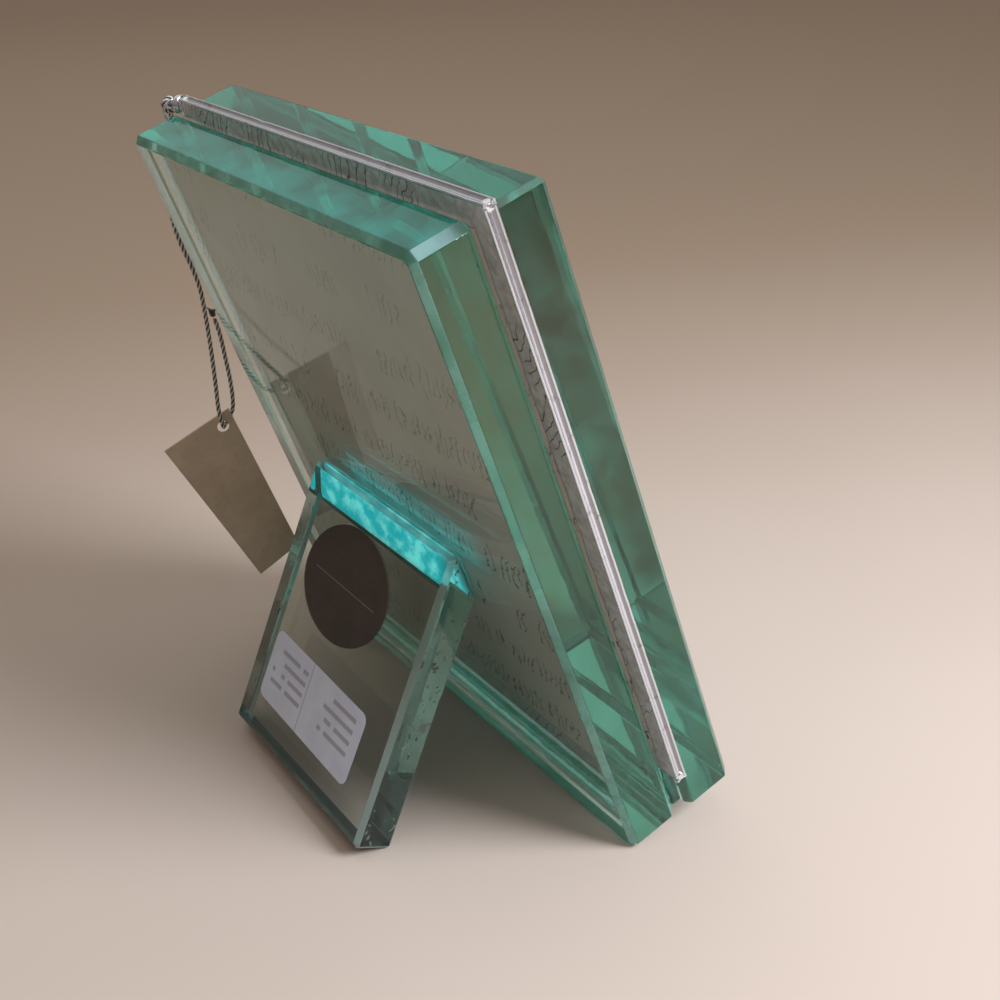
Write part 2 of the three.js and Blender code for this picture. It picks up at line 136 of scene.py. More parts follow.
def tube_mesh(points, radius, sides=10, closed=False, round_ends=True):
    """Vertices and faces of a tube. radius is one number or one for each point."""
    rows = transport(points, closed)
    n = len(points)
    rad = [radius] * n if isinstance(radius, (int, float)) else list(radius)
    rings = [(points[i], rad[i], rows[i]) for i in range(n)]
    if round_ends and not closed:
        extra_a, extra_b = [], []
        for k in (1, 2, 3):
            a = k / 3 * math.pi / 2 * 0.96
            extra_a.append((points[0] - rows[0][0] * rad[0] * math.sin(a), rad[0] * math.cos(a), rows[0]))
            extra_b.append((points[-1] + rows[-1][0] * rad[-1] * math.sin(a), rad[-1] * math.cos(a), rows[-1]))
        rings = extra_a[::-1] + rings + extra_b
    verts, faces = [], []
    for p, r, (_, u, v) in rings:
        for j in range(sides):
            a = 2 * math.pi * j / sides
            verts.append(p + u * (r * math.cos(a)) + v * (r * math.sin(a)))
    m = len(rings)
    for i in range(m if closed else m - 1):
        a0, b0 = i * sides, ((i + 1) % m) * sides
        for j in range(sides):
            k = (j + 1) % sides
            faces.append((a0 + j, a0 + k, b0 + k, b0 + j))
    if not closed:
        faces.append(tuple(range(sides))[::-1])
        faces.append(tuple(range((m - 1) * sides, m * sides)))
    return verts, faces


def merged(parts):
    """Joins several (verts, faces, material index) lists into one."""
    verts, faces, index = [], [], []
    for v, f, i in parts:
        o = len(verts)
        verts += v
        faces += [tuple(k + o for k in q) for q in f]
        index += [i] * len(f)
    return verts, faces, index


def smooth_route(points, per=14):
    """A centripetal Catmull-Rom line through the points."""
    out, n = [], len(points)
    for i in range(n - 1):
        p1, p2 = points[i], points[i + 1]
        p0 = points[i - 1] if i > 0 else p1 * 2 - p2
        p3 = points[i + 2] if i + 2 < n else p2 * 2 - p1
        d0 = math.sqrt((p1 - p0).length)
        d1 = math.sqrt((p2 - p1).length)
        d2 = math.sqrt((p3 - p2).length)
        t1 = ((p1 - p0) / d0 - (p2 - p0) / (d0 + d1) + (p2 - p1) / d1) * d1
        t2 = ((p2 - p1) / d1 - (p3 - p1) / (d1 + d2) + (p3 - p2) / d2) * d1
        c2 = p1 * -3 + p2 * 3 - t1 * 2 - t2
        c3 = p1 * 2 - p2 * 2 + t1 + t2
        for k in range(per):
            t = k / per
            out.append(p1 + t1 * t + c2 * (t * t) + c3 * (t * t * t))
    out.append(points[-1].copy())
    return out


def even_steps(line, step):
    """The same line with points a fixed step apart, and its length."""
    run = [0.0]
    for a, b in zip(line, line[1:]):
        run.append(run[-1] + (b - a).length)
    count = max(2, round(run[-1] / step))
    out, k = [], 0
    for i in range(count + 1):
        s = run[-1] * i / count
        while k < len(run) - 2 and run[k + 1] < s:
            k += 1
        f = (s - run[k]) / max(run[k + 1] - run[k], 1e-12)
        out.append(line[k].lerp(line[k + 1], min(max(f, 0.0), 1.0)))
    return out, run[-1]


# ------------------------------------------------------------------ material helper
class Shade:
    """A node material with short names for the nodes used here."""

    def __init__(self, name):
        self.m = bpy.data.materials.new(name)
        self.m.use_nodes = True
        self.t = self.m.node_tree
        self.t.nodes.clear()
        self.out = self.node("ShaderNodeOutputMaterial")
        self.p = self.node("ShaderNodeBsdfPrincipled")
        self.link(self.p.outputs["BSDF"], self.out.inputs["Surface"])
        self.co = self.node("ShaderNodeTexCoord").outputs["Object"]

    def node(self, kind, **props):
        n = self.t.nodes.new(kind)
        for k, v in props.items():
            setattr(n, k, v)
        return n

    def link(self, a, b):
        self.t.links.new(a, b)

    def put(self, socket, value):
        if isinstance(value, bpy.types.NodeSocket):
            self.link(value, socket)
        elif isinstance(value, (tuple, list)) and socket.type == "RGBA" and len(value) == 3:
            socket.default_value = (*value, 1.0)
        else:
            socket.default_value = value

    def set(self, **values):
        names = {
            "color": "Base Color",
            "rough": "Roughness",
            "metal": "Metallic",
            "ior": "IOR",
            "trans": "Transmission Weight",
            "normal": "Normal",
            "spec": "Specular IOR Level",
            "sheen": "Sheen Weight",
            "sheen_rough": "Sheen Roughness",
            "coat": "Coat Weight",
            "coat_rough": "Coat Roughness",
            "aniso": "Anisotropic",
            "sss": "Subsurface Weight",
            "sss_scale": "Subsurface Scale",
        }
        for k, v in values.items():
            self.put(self.p.inputs[names[k]], v)
        return self

    def math(self, op, a, b=0.0, c=0.0, clamp=False):
        n = self.node("ShaderNodeMath", operation=op, use_clamp=clamp)
        for s, v in zip(n.inputs, (a, b, c)):
            self.put(s, v)
        return n.outputs[0]

    def dot(self, axis, vec=None):
        n = self.node("ShaderNodeVectorMath", operation="DOT_PRODUCT")
        self.put(n.inputs[0], self.co if vec is None else vec)
        n.inputs[1].default_value = tuple(axis)
        return n.outputs["Value"]

    def combine(self, x, y, z):
        n = self.node("ShaderNodeCombineXYZ")
        for s, v in zip(n.inputs, (x, y, z)):
            self.put(s, v)
        return n.outputs[0]

    def scaled(self, factors, vec=None):
        n = self.node("ShaderNodeVectorMath", operation="MULTIPLY")
        self.put(n.inputs[0], self.co if vec is None else vec)
        n.inputs[1].default_value = tuple(factors)
        return n.outputs[0]

    def noise(self, scale, detail=2.0, rough=0.5, vec=None, distort=0.0):
        n = self.node("ShaderNodeTexNoise", noise_dimensions="3D")
        self.put(n.inputs["Vector"], self.co if vec is None else vec)
        n.inputs["Scale"].default_value = scale
        n.inputs["Detail"].default_value = detail
        n.inputs["Roughness"].default_value = rough
        n.inputs["Distortion"].default_value = distort
        return n.outputs[0]

    def cells(self, scale, vec=None, feature="F1", randomness=1.0, out="Distance"):
        n = self.node("ShaderNodeTexVoronoi", feature=feature)
        self.put(n.inputs["Vector"], self.co if vec is None else vec)
        n.inputs["Scale"].default_value = scale
        n.inputs["Randomness"].default_value = randomness
        return n.outputs[out]

    def white(self, vec):
        n = self.node("ShaderNodeTexWhiteNoise", noise_dimensions="3D")
        self.put(n.inputs["Vector"], vec)
        return n.outputs["Value"]

    def step(self, x, lo, hi, a=0.0, b=1.0):
        n = self.node("ShaderNodeMapRange", interpolation_type="SMOOTHSTEP")
        self.put(n.inputs["Value"], x)
        n.inputs["From Min"].default_value = lo
        n.inputs["From Max"].default_value = hi
        n.inputs["To Min"].default_value = a
        n.inputs["To Max"].default_value = b
        return n.outputs["Result"]

    def mix(self, fac, a, b):
        n = self.node("ShaderNodeMix", data_type="RGBA", blend_type="MIX")
        self.put(n.inputs["Factor"], fac)
        self.put([s for s in n.inputs if s.name == "A" and s.type == "RGBA"][0], a)
        self.put([s for s in n.inputs if s.name == "B" and s.type == "RGBA"][0], b)
        return [s for s in n.outputs if s.type == "RGBA"][0]

    def ramp(self, fac, stops):
        n = self.node("ShaderNodeValToRGB")
        e = n.color_ramp.elements
        while len(e) < len(stops):
            e.new(0.5)
        for item, (pos, col) in zip(e, stops):
            item.position = pos
            item.color = (*col, 1.0)
        self.put(n.inputs["Fac"], fac)
        return n.outputs["Color"]

    def bump(self, height, strength=1.0, distance=0.001, normal=None):
        n = self.node("ShaderNodeBump")
        n.inputs["Strength"].default_value = strength
        n.inputs["Distance"].default_value = distance
        self.put(n.inputs["Height"], height)
        if normal is not None:
            self.put(n.inputs["Normal"], normal)
        return n.outputs["Normal"]

    def true_normal(self):
        return self.node("ShaderNodeNewGeometry").outputs["True Normal"]

    def absorb(self, color, density):
        n = self.node("ShaderNodeVolumeAbsorption")
        n.inputs["Color"].default_value = (*color, 1.0)
        n.inputs["Density"].default_value = density
        self.link(n.outputs[0], self.out.inputs["Volume"])


# ------------------------------------------------------------------ materials
def plate_glass(name, axis, down, seed, frost, dull, specks, side_shade_top=None, broad_face_shade=None, painted_top_tint=None, satin=0.0):
    """Green-edged float glass: clean broad faces with faint smears, ground and polished narrow faces with a slow waviness."""
    g = Shade(name)
    facing = g.math("ABSOLUTE", g.dot(axis, g.true_normal()))
    narrow = g.step(facing, 0.85, 0.97, 1.0, 0.0)
    bevel = g.math("MULTIPLY", narrow, g.step(facing, 0.2, 0.5))
    moved = g.node("ShaderNodeVectorMath", operation="ADD")
    g.link(g.co, moved.inputs[0])
    moved.inputs[1].default_value = (seed * 0.37, seed * 0.61, seed * 0.23)
    at = moved.outputs[0]
    slow = g.noise(140.0, 1.5, 0.5, at)
    quick = g.noise(330.0, 2.0, 0.5, at)
    height = g.math("ADD", g.math("MULTIPLY", slow, 1.0), g.math("MULTIPLY", quick, g.math("MULTIPLY", bevel, 0.22)))
    height = g.math("MULTIPLY", height, narrow)
    across = g.math("ABSOLUTE", g.dot((1, 0, 0), g.true_normal()))
    corner = g.math("MULTIPLY", g.math("MULTIPLY", g.step(across, 0.35, 0.5), g.step(across, 0.88, 0.8)), g.step(facing, 0.45, 0.3))
    smear = g.step(g.noise(60.0, 4.0, 0.65, at, 0.6), 0.55, 0.8)
    rough = g.math("ADD", g.math("MULTIPLY", smear, 0.004), g.math("MULTIPLY", narrow, 0.012))
    corner = g.math("MULTIPLY", corner, frost)
    rough = g.math("ADD", rough, g.math("MULTIPLY", corner, 0.4))
    foot = g.step(g.dot(down, g.true_normal()), 0.9, 0.98)
    rough = g.math("ADD", rough, g.math("MULTIPLY", foot, 0.06))
    ground = g.math("MULTIPLY", corner, g.math("MULTIPLY_ADD", quick, 0.3, 0.2))
    rough = g.math("ADD", rough, g.math("MULTIPLY", bevel, 0.1))
    side = g.step(across, 0.93, 0.98)
    patch = g.step(g.noise(130.0, 3.0, 0.6, at), 0.3, 0.7)
    if side_shade_top:  # painted shade: the side tint turns darker and warmer towards the top, standing for dim surroundings seen through the sides
        high = g.math("MULTIPLY_ADD", g.noise(55.0, 1.5, 0.5, at), 0.024, g.dot(PLATE_UP))
        dull = g.mix(g.step(high, 0.05, 0.064), dull, side_shade_top)
    # painted shade: the dull tint darkens the side faces, standing for dim surroundings seen through them
    tint = g.mix(g.math("MULTIPLY", side, g.math("MULTIPLY_ADD", patch, 0.5, 0.6)), (1.0, 1.0, 1.0), dull)
    if broad_face_shade:  # painted shade: a darker, patchy tint on the broad faces, and a near-black opaque foot standing for the shadow under the lifted foot
        tint = g.mix(g.math("MULTIPLY", g.step(facing, 0.95, 0.99), g.math("MULTIPLY_ADD", smear, 0.3, 0.8)), tint, broad_face_shade)
        # painted shade: the foot face is near-black and opaque, standing for the shadow under the leg's lifted foot
        low = g.math("MULTIPLY", g.step(g.math("ABSOLUTE", g.dot(down, g.true_normal())), 0.55, 0.65), g.step(g.dot(down), LEG_FOOT - 0.0016, LEG_FOOT - 0.0012))
        # painted shade: the leg's bevels are tinted darker and partly diffuse, toning down the light they carry
        tint = g.mix(g.math("MULTIPLY", bevel, 0.7), tint, (0.3, 0.47, 0.45))
        tint = g.mix(low, tint, (0.02, 0.027, 0.025))
        ground = g.math("MAXIMUM", g.math("MAXIMUM", ground, g.math("MULTIPLY", bevel, 0.35)), low)
        # painted highlight: one long bevel is tinted paler and partly diffuse, most of all beside the joint, standing
        # for light caught along it
        pale = g.math("MULTIPLY", bevel, g.step(g.dot((1, 0, 0)), 0.0222, 0.0228))
        tint = g.mix(g.math("MULTIPLY", pale, 0.8), tint, (0.56, 0.82, 0.86))
        ground = g.math("MAXIMUM", ground, g.math("MULTIPLY", pale, g.math("MULTIPLY_ADD", patch, 0.4, 0.25)))
        joint_highlight = g.math("MULTIPLY", pale, g.step(g.dot((0, 0, 1)), 0.036, 0.041))
        tint = g.mix(joint_highlight, tint, (0.36, 0.95, 0.97))
        ground = g.math("MAXIMUM", ground, g.math("MULTIPLY", joint_highlight, 0.6))
    tint = g.mix(corner, tint, (0.46, 0.76, 0.82))
    if painted_top_tint:  # painted light and shade: a tint on the face along the top (darker on the front plate, saturated teal on the rear) and a teal satin on the bevels, standing for light gathered in the glass
        top = g.math("MULTIPLY", g.step(g.math("ABSOLUTE", g.dot(down, g.true_normal())), 0.9, 0.98), g.step(g.dot(PLATE_UP), 0.06, 0.07))
        tint = g.mix(top, tint, painted_top_tint)
        tint = g.mix(g.math("MULTIPLY", bevel, min(1.0, satin * 4)), tint, (0.34, 0.9, 0.84))
        worn = g.math("MULTIPLY", g.math("MULTIPLY_ADD", patch, 0.8, 0.6), satin)
        ground = g.math("MAXIMUM", ground, g.math("MULTIPLY", g.math("MAXIMUM", top, g.math("MULTIPLY", bevel, 1.3)), worn))
    if specks:  # dirt and small chips on the ground sides
        spot = g.math("MAXIMUM", g.step(g.noise(760.0, 2.0, 0.55, at), 0.645, 0.67), g.step(g.noise(210.0, 3.0, 0.7, at), 0.66, 0.675))
        spot = g.math("MULTIPLY", g.math("MULTIPLY", spot, side), specks)
        tint = g.mix(spot, tint, (0.03, 0.045, 0.04))
        ground = g.math("MAXIMUM", ground, spot)
    g.set(color=tint, ior=1.52, trans=g.math("SUBTRACT", 1.0, ground), rough=rough, normal=g.bump(height, 0.26, 0.00011))
    g.absorb((0.25, 0.84, 0.77), 24.0)
    return g.m


def strip_glass():
    """Cast clear strip with tiny bubbles and a faintly rippled skin."""
    g = Shade("strip_clear")
    ripple = g.noise(420.0, 2.0, 0.5)
    pits = g.step(g.cells(900.0), 0.05, 0.22, 1.0, 0.0)
    g.set(
        color=(1.0, 1.0, 1.0),
        ior=1.5,
        trans=1.0,
        rough=g.math("MULTIPLY_ADD", pits, 0.12, 0.03),
        normal=g.bump(g.math("SUBTRACT", ripple, g.math("MULTIPLY", pits, 0.5)), 0.4, 0.00012),
    )
    g.absorb((0.45, 0.8, 0.76), 14.0)
    return g.m


def glue(name, strength, deep=(0.55, 0.93, 0.92), pale=(0.83, 0.99, 0.98), glow=0.0):
    """Cured clear adhesive with an aqua tint, clouded in patches, with trapped specks."""
    g = Shade(name)
    cloud = g.noise(260.0, 3.0, 0.6)
    specks = g.step(g.cells(850.0), 0.06, 0.2, 1.0, 0.0)
    color = g.mix(g.step(cloud, 0.35, 0.7), deep, pale)
    g.set(
        color=color,
        ior=1.5,
        trans=strength,
        rough=g.math("MULTIPLY_ADD", cloud, 0.1, 0.0),
        normal=g.bump(g.math("ADD", cloud, specks), 0.35, 0.00012),
    )
    if glow:  # painted glow: emission standing in for light piped along the glass, fading towards one end; the film gives off no light of its own
        light = g.mix(g.step(cloud, 0.42, 0.62), (0.015, 0.6, 0.66), (0.26, 1.0, 0.98))
        end = g.step(g.dot((1, 0, 0)), -0.0245, -0.0195, 1.0, 0.0)
        g.put(g.p.inputs["Emission Color"], g.mix(g.math("MULTIPLY", end, 0.85), light, (0.02, 0.09, 0.08)))
        g.p.inputs["Emission Strength"].default_value = glow
    return g.m


def silver(name, tint=(0.82, 0.82, 0.85), rough=0.2, grain=1500.0):
    """Bright silvery metal with a worn, slightly hammered skin and darker worn marks."""
    g = Shade(name)
    lumps = g.noise(700.0, 3.0, 0.55)
    fine = g.noise(grain, 2.0, 0.5, g.scaled((0.25, 1.0, 1.0)))
    worn = g.step(g.noise(520.0, 4.0, 0.65), 0.56, 0.74)
    dark = tuple(c * 0.6 for c in tint)
    g.set(
        color=g.mix(worn, tint, dark),
        metal=1.0,
        rough=g.math("MULTIPLY_ADD", worn, 0.22, rough),
        normal=g.bump(g.math("MULTIPLY_ADD", lumps, 1.0, g.math("MULTIPLY", fine, 0.3)), 0.3, 0.00012),
    )
    return g.m


def backing_paper():
    """Taupe card with rows of plain pen strokes, bound all round by a creased silvery foil."""
    g = Shade("backing_taupe")
    u = g.dot((1, 0, 0))
    v = g.dot(PLATE_UP)
    rows = g.math("DIVIDE", v, 0.0118)
    row = g.math("FLOOR", rows)
    inrow = g.math("FRACT", rows)
    shift = g.math("MULTIPLY", g.white(g.combine(row, 3.0, 1.0)), 0.02)
    sway = g.math("MULTIPLY_ADD", g.noise(330.0, 2.0, 0.6), 0.0044, -0.0022)
    slant = g.math("ADD", g.math("ADD", u, shift), g.math("ADD", g.math("MULTIPLY", v, 0.3), sway))
    strokes = g.math("DIVIDE", slant, 0.0016)
    stroke = g.math("FLOOR", strokes)
    instroke = g.math("FRACT", strokes)
    chance = g.white(g.combine(stroke, row, 7.0))
    reach = g.white(g.combine(stroke, row, 19.0))
    group = g.white(g.combine(g.math("FLOOR", g.math("DIVIDE", stroke, 6.0)), row, 5.0))
    line = g.math("SUBTRACT", 1.0, g.step(g.math("ABSOLUTE", g.math("SUBTRACT", instroke, 0.5)), 0.05, 0.17))
    top = g.math("MULTIPLY_ADD", reach, 0.22, 0.55)
    low = g.math("MULTIPLY_ADD", chance, 0.2, 0.12)
    inside = g.math("MULTIPLY", g.math("GREATER_THAN", inrow, low), g.math("LESS_THAN", inrow, top))
    ink = g.math("MULTIPLY", g.math("MULTIPLY", line, inside), g.math("GREATER_THAN", chance, 0.16))
    ink = g.math("MULTIPLY", ink, g.math("GREATER_THAN", group, 0.2))
    fibre = g.noise(900.0, 4.0, 0.65, g.scaled((0.35, 1.0, 1.0)))
    blotch = g.noise(70.0, 3.0, 0.6)
    paper = g.mix(g.step(blotch, 0.3, 0.7), (0.85, 0.64, 0.595), (0.95, 0.74, 0.695))
    paper = g.mix(g.math("MULTIPLY", g.step(fibre, 0.45, 0.75), 0.35), paper, (0.97, 0.81, 0.76))
    # distance in mm from the card's outline, for the foil
    middle = plate((X0 + X1) / 2, 0, (Z0 + Z1) / 2)
    from_x = g.math("SUBTRACT", (X1 - X0) / 2, g.math("ABSOLUTE", g.math("MULTIPLY_ADD", u, 1000.0, -1000.0 * middle.x)))
    from_z = g.math("SUBTRACT", (Z1 - Z0) / 2, g.math("ABSOLUTE", g.math("MULTIPLY_ADD", v, 1000.0, -1000.0 * middle.dot(PLATE_UP))))
    inset = g.math("ADD", g.math("MINIMUM", from_x, from_z), g.math("MULTIPLY_ADD", g.noise(240.0, 3.0, 0.6), 0.9, -0.45))
    foil = g.step(inset, 4.4, 4.6, 1.0, 0.0)
    # creases run across the foil, closer and deeper in some stretches; their dark lines are painted shade
    run = g.math("ADD", u, g.math("MULTIPLY_ADD", v, 0.8, g.math("MULTIPLY", g.noise(190.0, 2.0), 0.006)))
    fold = g.math("FRACT", g.math("DIVIDE", run, 0.0021))
    some = g.step(g.noise(70.0, 2.0), 0.47, 0.56)
    crease = g.math("MULTIPLY", g.step(g.math("ABSOLUTE", g.math("SUBTRACT", fold, 0.5)), 0.03, 0.1, 1.0, 0.0), some)
    dents = g.noise(620.0, 3.0, 0.6)
    sheet = g.mix(g.step(dents, 0.3, 0.7), (0.66, 0.57, 0.61), (0.9, 0.82, 0.87))
    # painted shade: the creases are darkened
    sheet = g.mix(g.math("MULTIPLY", crease, 0.85), sheet, (0.05, 0.045, 0.042))
    sheet = g.mix(g.math("MULTIPLY", g.step(inset, 4.0, 4.5), 0.6), sheet, (0.1, 0.09, 0.08))
    g.set(
        color=g.mix(foil, g.mix(g.math("MULTIPLY", ink, g.step(v, 0.048, 0.1, 0.86, 0.38)), paper, (0.04, 0.034, 0.032)), sheet),
        rough=g.math("MULTIPLY_ADD", foil, -0.16, g.math("MULTIPLY_ADD", fibre, 0.2, 0.5)),
        metal=g.math("MULTIPLY", foil, 0.6),
        normal=g.bump(g.math("ADD", g.math("MULTIPLY", fibre, 0.3), g.math("MULTIPLY", g.math("SUBTRACT", dents, g.math("MULTIPLY", crease, 0.6)), foil)), 0.4, 0.0001),
    )
    return g.m


def picture_paper():
    """Plain cream insert card with a linen emboss and a pressed double border."""
    g = Shade("picture_linen")
    u, v = g.dot((1, 0, 0)), g.dot(PLATE_UP)
    warp = g.math("SINE", g.math("MULTIPLY", u, 2 * math.pi / 0.0007))
    weft = g.math("SINE", g.math("MULTIPLY", v, 2 * math.pi / 0.0007))
    cloth = g.math("MULTIPLY", g.math("ADD", warp, weft), g.noise(500.0, 2.0))
    middle = plate((X0 + X1) / 2, 0, (Z0 + Z1) / 2)
    from_x = g.math("SUBTRACT", (X1 - X0) / 2, g.math("ABSOLUTE", g.math("MULTIPLY_ADD", u, 1000.0, -1000.0 * middle.x)))
    from_z = g.math("SUBTRACT", (Z1 - Z0) / 2, g.math("ABSOLUTE", g.math("MULTIPLY_ADD", v, 1000.0, -1000.0 * middle.dot(PLATE_UP))))
    inset = g.math("MINIMUM", from_x, from_z)
    border = g.math("MULTIPLY", g.step(inset, 8.8, 9.1), g.step(inset, 10.3, 10.0))
    second = g.math("MULTIPLY", g.step(inset, 11.0, 11.1), g.step(inset, 11.5, 11.4))
    field = g.step(inset, 10.0, 10.4)
    tone = g.mix(g.step(g.noise(45.0, 3.0), 0.3, 0.7), (0.72, 0.68, 0.61), (0.78, 0.745, 0.675))
    tone = g.mix(g.math("MULTIPLY", field, 0.55), tone, (0.86, 0.835, 0.78))
    line = g.math("MAXIMUM", border, g.math("MULTIPLY", second, 0.7))
    weave = g.math("MULTIPLY", g.step(cloth, -0.5, 0.5), 0.12)
    g.set(
        color=g.mix(weave, g.mix(g.math("MULTIPLY", line, 0.5), tone, (0.42, 0.37, 0.3)), (0.52, 0.48, 0.42)),
        rough=0.62,
        normal=g.bump(g.math("SUBTRACT", cloth, g.math("MULTIPLY", line, 2.0)), 0.35, 0.00005),
    )
    return g.m


def clear_sheet():
    g = Shade("cover_clear")
    g.set(color=(1.0, 1.0, 1.0), ior=1.49, trans=1.0, rough=g.step(g.noise(80.0, 3.0, 0.6), 0.5, 0.8, 0.0, 0.05))
    return g.m


def leg_place(g, x, s):
    """Coordinates on the leg's rear face in mm, across and down, from a place on it."""
    across = g.math("MULTIPLY_ADD", g.dot((1, 0, 0)), 1000.0, -(x + LEAN.x))
    down = g.math("MULTIPLY_ADD", g.dot(LEG_DOWN), 1000.0, -(s + LEAN.dot(LEG_DOWN)))
    return across, down


def dark_sticker():
    """Dark brown-black satin paper with one fine plain rule and a pale cut edge."""
    g = Shade("sticker_dark")
    x, s = leg_place(g, 2.2, -17.816)
    fibre = g.noise(1600.0, 3.0, 0.6)
    dust = g.step(g.noise(3800.0, 1.0), 0.68, 0.74)
    rule = g.math("MULTIPLY", g.step(g.math("ABSOLUTE", g.math("SUBTRACT", s, 0.4)), 0.06, 0.13, 1.0, 0.0), g.step(g.math("ABSOLUTE", x), 11.0, 11.2, 1.0, 0.0))
    far = g.math("SQRT", g.math("ADD", g.math("POWER", g.math("DIVIDE", x, 14.8), 2.0), g.math("POWER", g.math("DIVIDE", s, 10.75), 2.0)))
    edge = g.step(far, 0.985, 0.996)
    tone = g.mix(g.step(g.noise(120.0, 3.0), 0.3, 0.7), (0.026, 0.021, 0.020), (0.04, 0.033, 0.031))
    tone = g.mix(g.math("MULTIPLY", rule, 0.5), tone, (0.3, 0.27, 0.25))
    tone = g.mix(g.math("MULTIPLY", dust, 0.25), tone, (0.2, 0.18, 0.17))
    g.set(
        color=g.mix(g.math("MULTIPLY", edge, 0.6), tone, (0.16, 0.15, 0.14)),
        rough=g.math("MULTIPLY_ADD", fibre, 0.18, 0.36),
        normal=g.bump(fibre, 0.18, 0.00003),
    )
    return g.m


def pale_label():
    """Pale grey satin paper, divided by a fine line, with plain grey bars standing for print."""
    g = Shade("label_pale")
    x, s = leg_place(g, 1.0, 5.384)
    fibre = g.noise(1500.0, 3.0, 0.6)
    divide = g.step(g.math("ABSOLUTE", g.math("SUBTRACT", x, 2.4)), 0.1, 0.2, 1.0, 0.0)
    bars = g.math("DIVIDE", g.math("ADD", s, 5.2), 2.15)
    bar = g.math("FLOOR", bars)
    inbar = g.math("FRACT", bars)
    side = g.math("GREATER_THAN", x, 2.4)
    length = g.white(g.combine(bar, side, 4.0))
    word = g.white(g.combine(g.math("FLOOR", g.math("DIVIDE", x, 1.35)), bar, 2.0))
    on = g.math("MULTIPLY", g.step(g.math("ABSOLUTE", g.math("SUBTRACT", inbar, 0.5)), 0.16, 0.24, 1.0, 0.0), g.math("GREATER_THAN", word, 0.2))
    start = g.math("MULTIPLY_ADD", side, 18.6, -15.2)
    along = g.math("SUBTRACT", x, start)
    on = g.math("MULTIPLY", on, g.math("MULTIPLY", g.math("GREATER_THAN", along, 0.0), g.math("LESS_THAN", along, g.math("MULTIPLY_ADD", length, 4.0, 8.5))))
    on = g.math("MULTIPLY", on, g.math("MULTIPLY", g.math("GREATER_THAN", s, -5.2), g.math("LESS_THAN", s, 3.4)))
    tone = g.mix(g.step(g.noise(150.0, 3.0), 0.3, 0.7), (0.58, 0.65, 0.82), (0.66, 0.73, 0.9))
    tone = g.mix(g.math("MULTIPLY", divide, 0.5), tone, (0.2, 0.19, 0.2))
    g.set(
        color=g.mix(g.math("MULTIPLY", on, 0.55), tone, (0.16, 0.15, 0.16)),
        rough=g.math("MULTIPLY_ADD", fibre, 0.15, 0.38),
        normal=g.bump(fibre, 0.15, 0.00003),
    )
    return g.m


def tag_paper(across, up):
    """Taupe card stock: short fibres, mottling and paler flecks."""
    g = Shade("tag_taupe")
    turned_co = g.combine(g.dot(across), g.dot(up), 0.0)
    fibre = g.noise(1300.0, 4.0, 0.7, g.scaled((0.4, 1.0, 1.0), turned_co))
    fleck = g.step(g.noise(2600.0, 2.0, 0.5, turned_co), 0.62, 0.72)
    mottle = g.noise(110.0, 3.0, 0.6, turned_co)
    tone = g.mix(g.step(mottle, 0.3, 0.7), (0.53, 0.42, 0.31), (0.64, 0.51, 0.39))
    tone = g.mix(g.math("MULTIPLY", fleck, 0.35), tone, (0.76, 0.64, 0.5))
    g.set(
        color=g.mix(g.math("MULTIPLY", g.step(fibre, 0.3, 0.48, 1.0, 0.0), 0.3), tone, (0.3, 0.23, 0.165)),
        rough=g.math("MULTIPLY_ADD", fibre, 0.2, 0.6),
        normal=g.bump(fibre, 0.35, 0.00006),
        sheen=0.1,
    )
    return g.m


def thread(name, light, dark, rough, metal):
    """Spun thread: fine filaments with bright and dull ones."""
    g = Shade(name)
    fil = g.noise(5200.0, 3.0, 0.6)
    g.set(
        color=g.mix(g.step(fil, 0.35, 0.65), dark, light),
        rough=rough,
        metal=metal,
        normal=g.bump(fil, 0.5, 0.00004),
        sheen=0.3,
    )
    return g.m


def crystal():
    g = Shade("bead_crystal")
    g.set(color=(0.86, 0.97, 1.0), ior=1.58, trans=1.0, rough=g.step(g.noise(900.0, 2.0), 0.6, 0.8, 0.0, 0.06))
    g.absorb((0.5, 0.85, 0.92), 90.0)
    return g.m


# the side, top and broad-face tints passed here are painted light and shade, see plate_glass
GLASS_PLATE = plate_glass("glass_rear", PLATE_N, -PLATE_UP, 1.0, 1.0, (0.72, 0.66, 0.55), 0.0, (0.98, 0.5, 0.35), None, (0.07, 0.92, 0.82), 0.2)
GLASS_FRONT = plate_glass("glass_front", PLATE_N, -PLATE_UP, 2.0, 0.2, (0.7, 0.68, 0.57), 0.0, (0.34, 0.17, 0.11), None, (0.2, 0.62, 0.6), 0.04)
GLASS_LEG = plate_glass("glass_leg", LEG_OUT, LEG_DOWN, 3.0, 0.4, (0.44, 0.54, 0.52), 0.85, None, (0.62, 0.57, 0.53))
# painted reflection: the bluish tints of these metals stand in for cool light reflected in them
SILVER_EDGE = silver("edging_silver", (0.8, 0.86, 0.98), 0.24)
# painted shade: a darker copy of the edging metal for the hollow between the rims
SILVER_GROOVE_SHADE = silver("edging_shaded_groove", (0.36, 0.37, 0.41), 0.34)
SILVER_WIRE = silver("wire_silver", (0.7, 0.73, 0.8), 0.1, 2600.0)
SOLDER = silver("solder_bright", (0.88, 0.93, 1.0), 0.2)


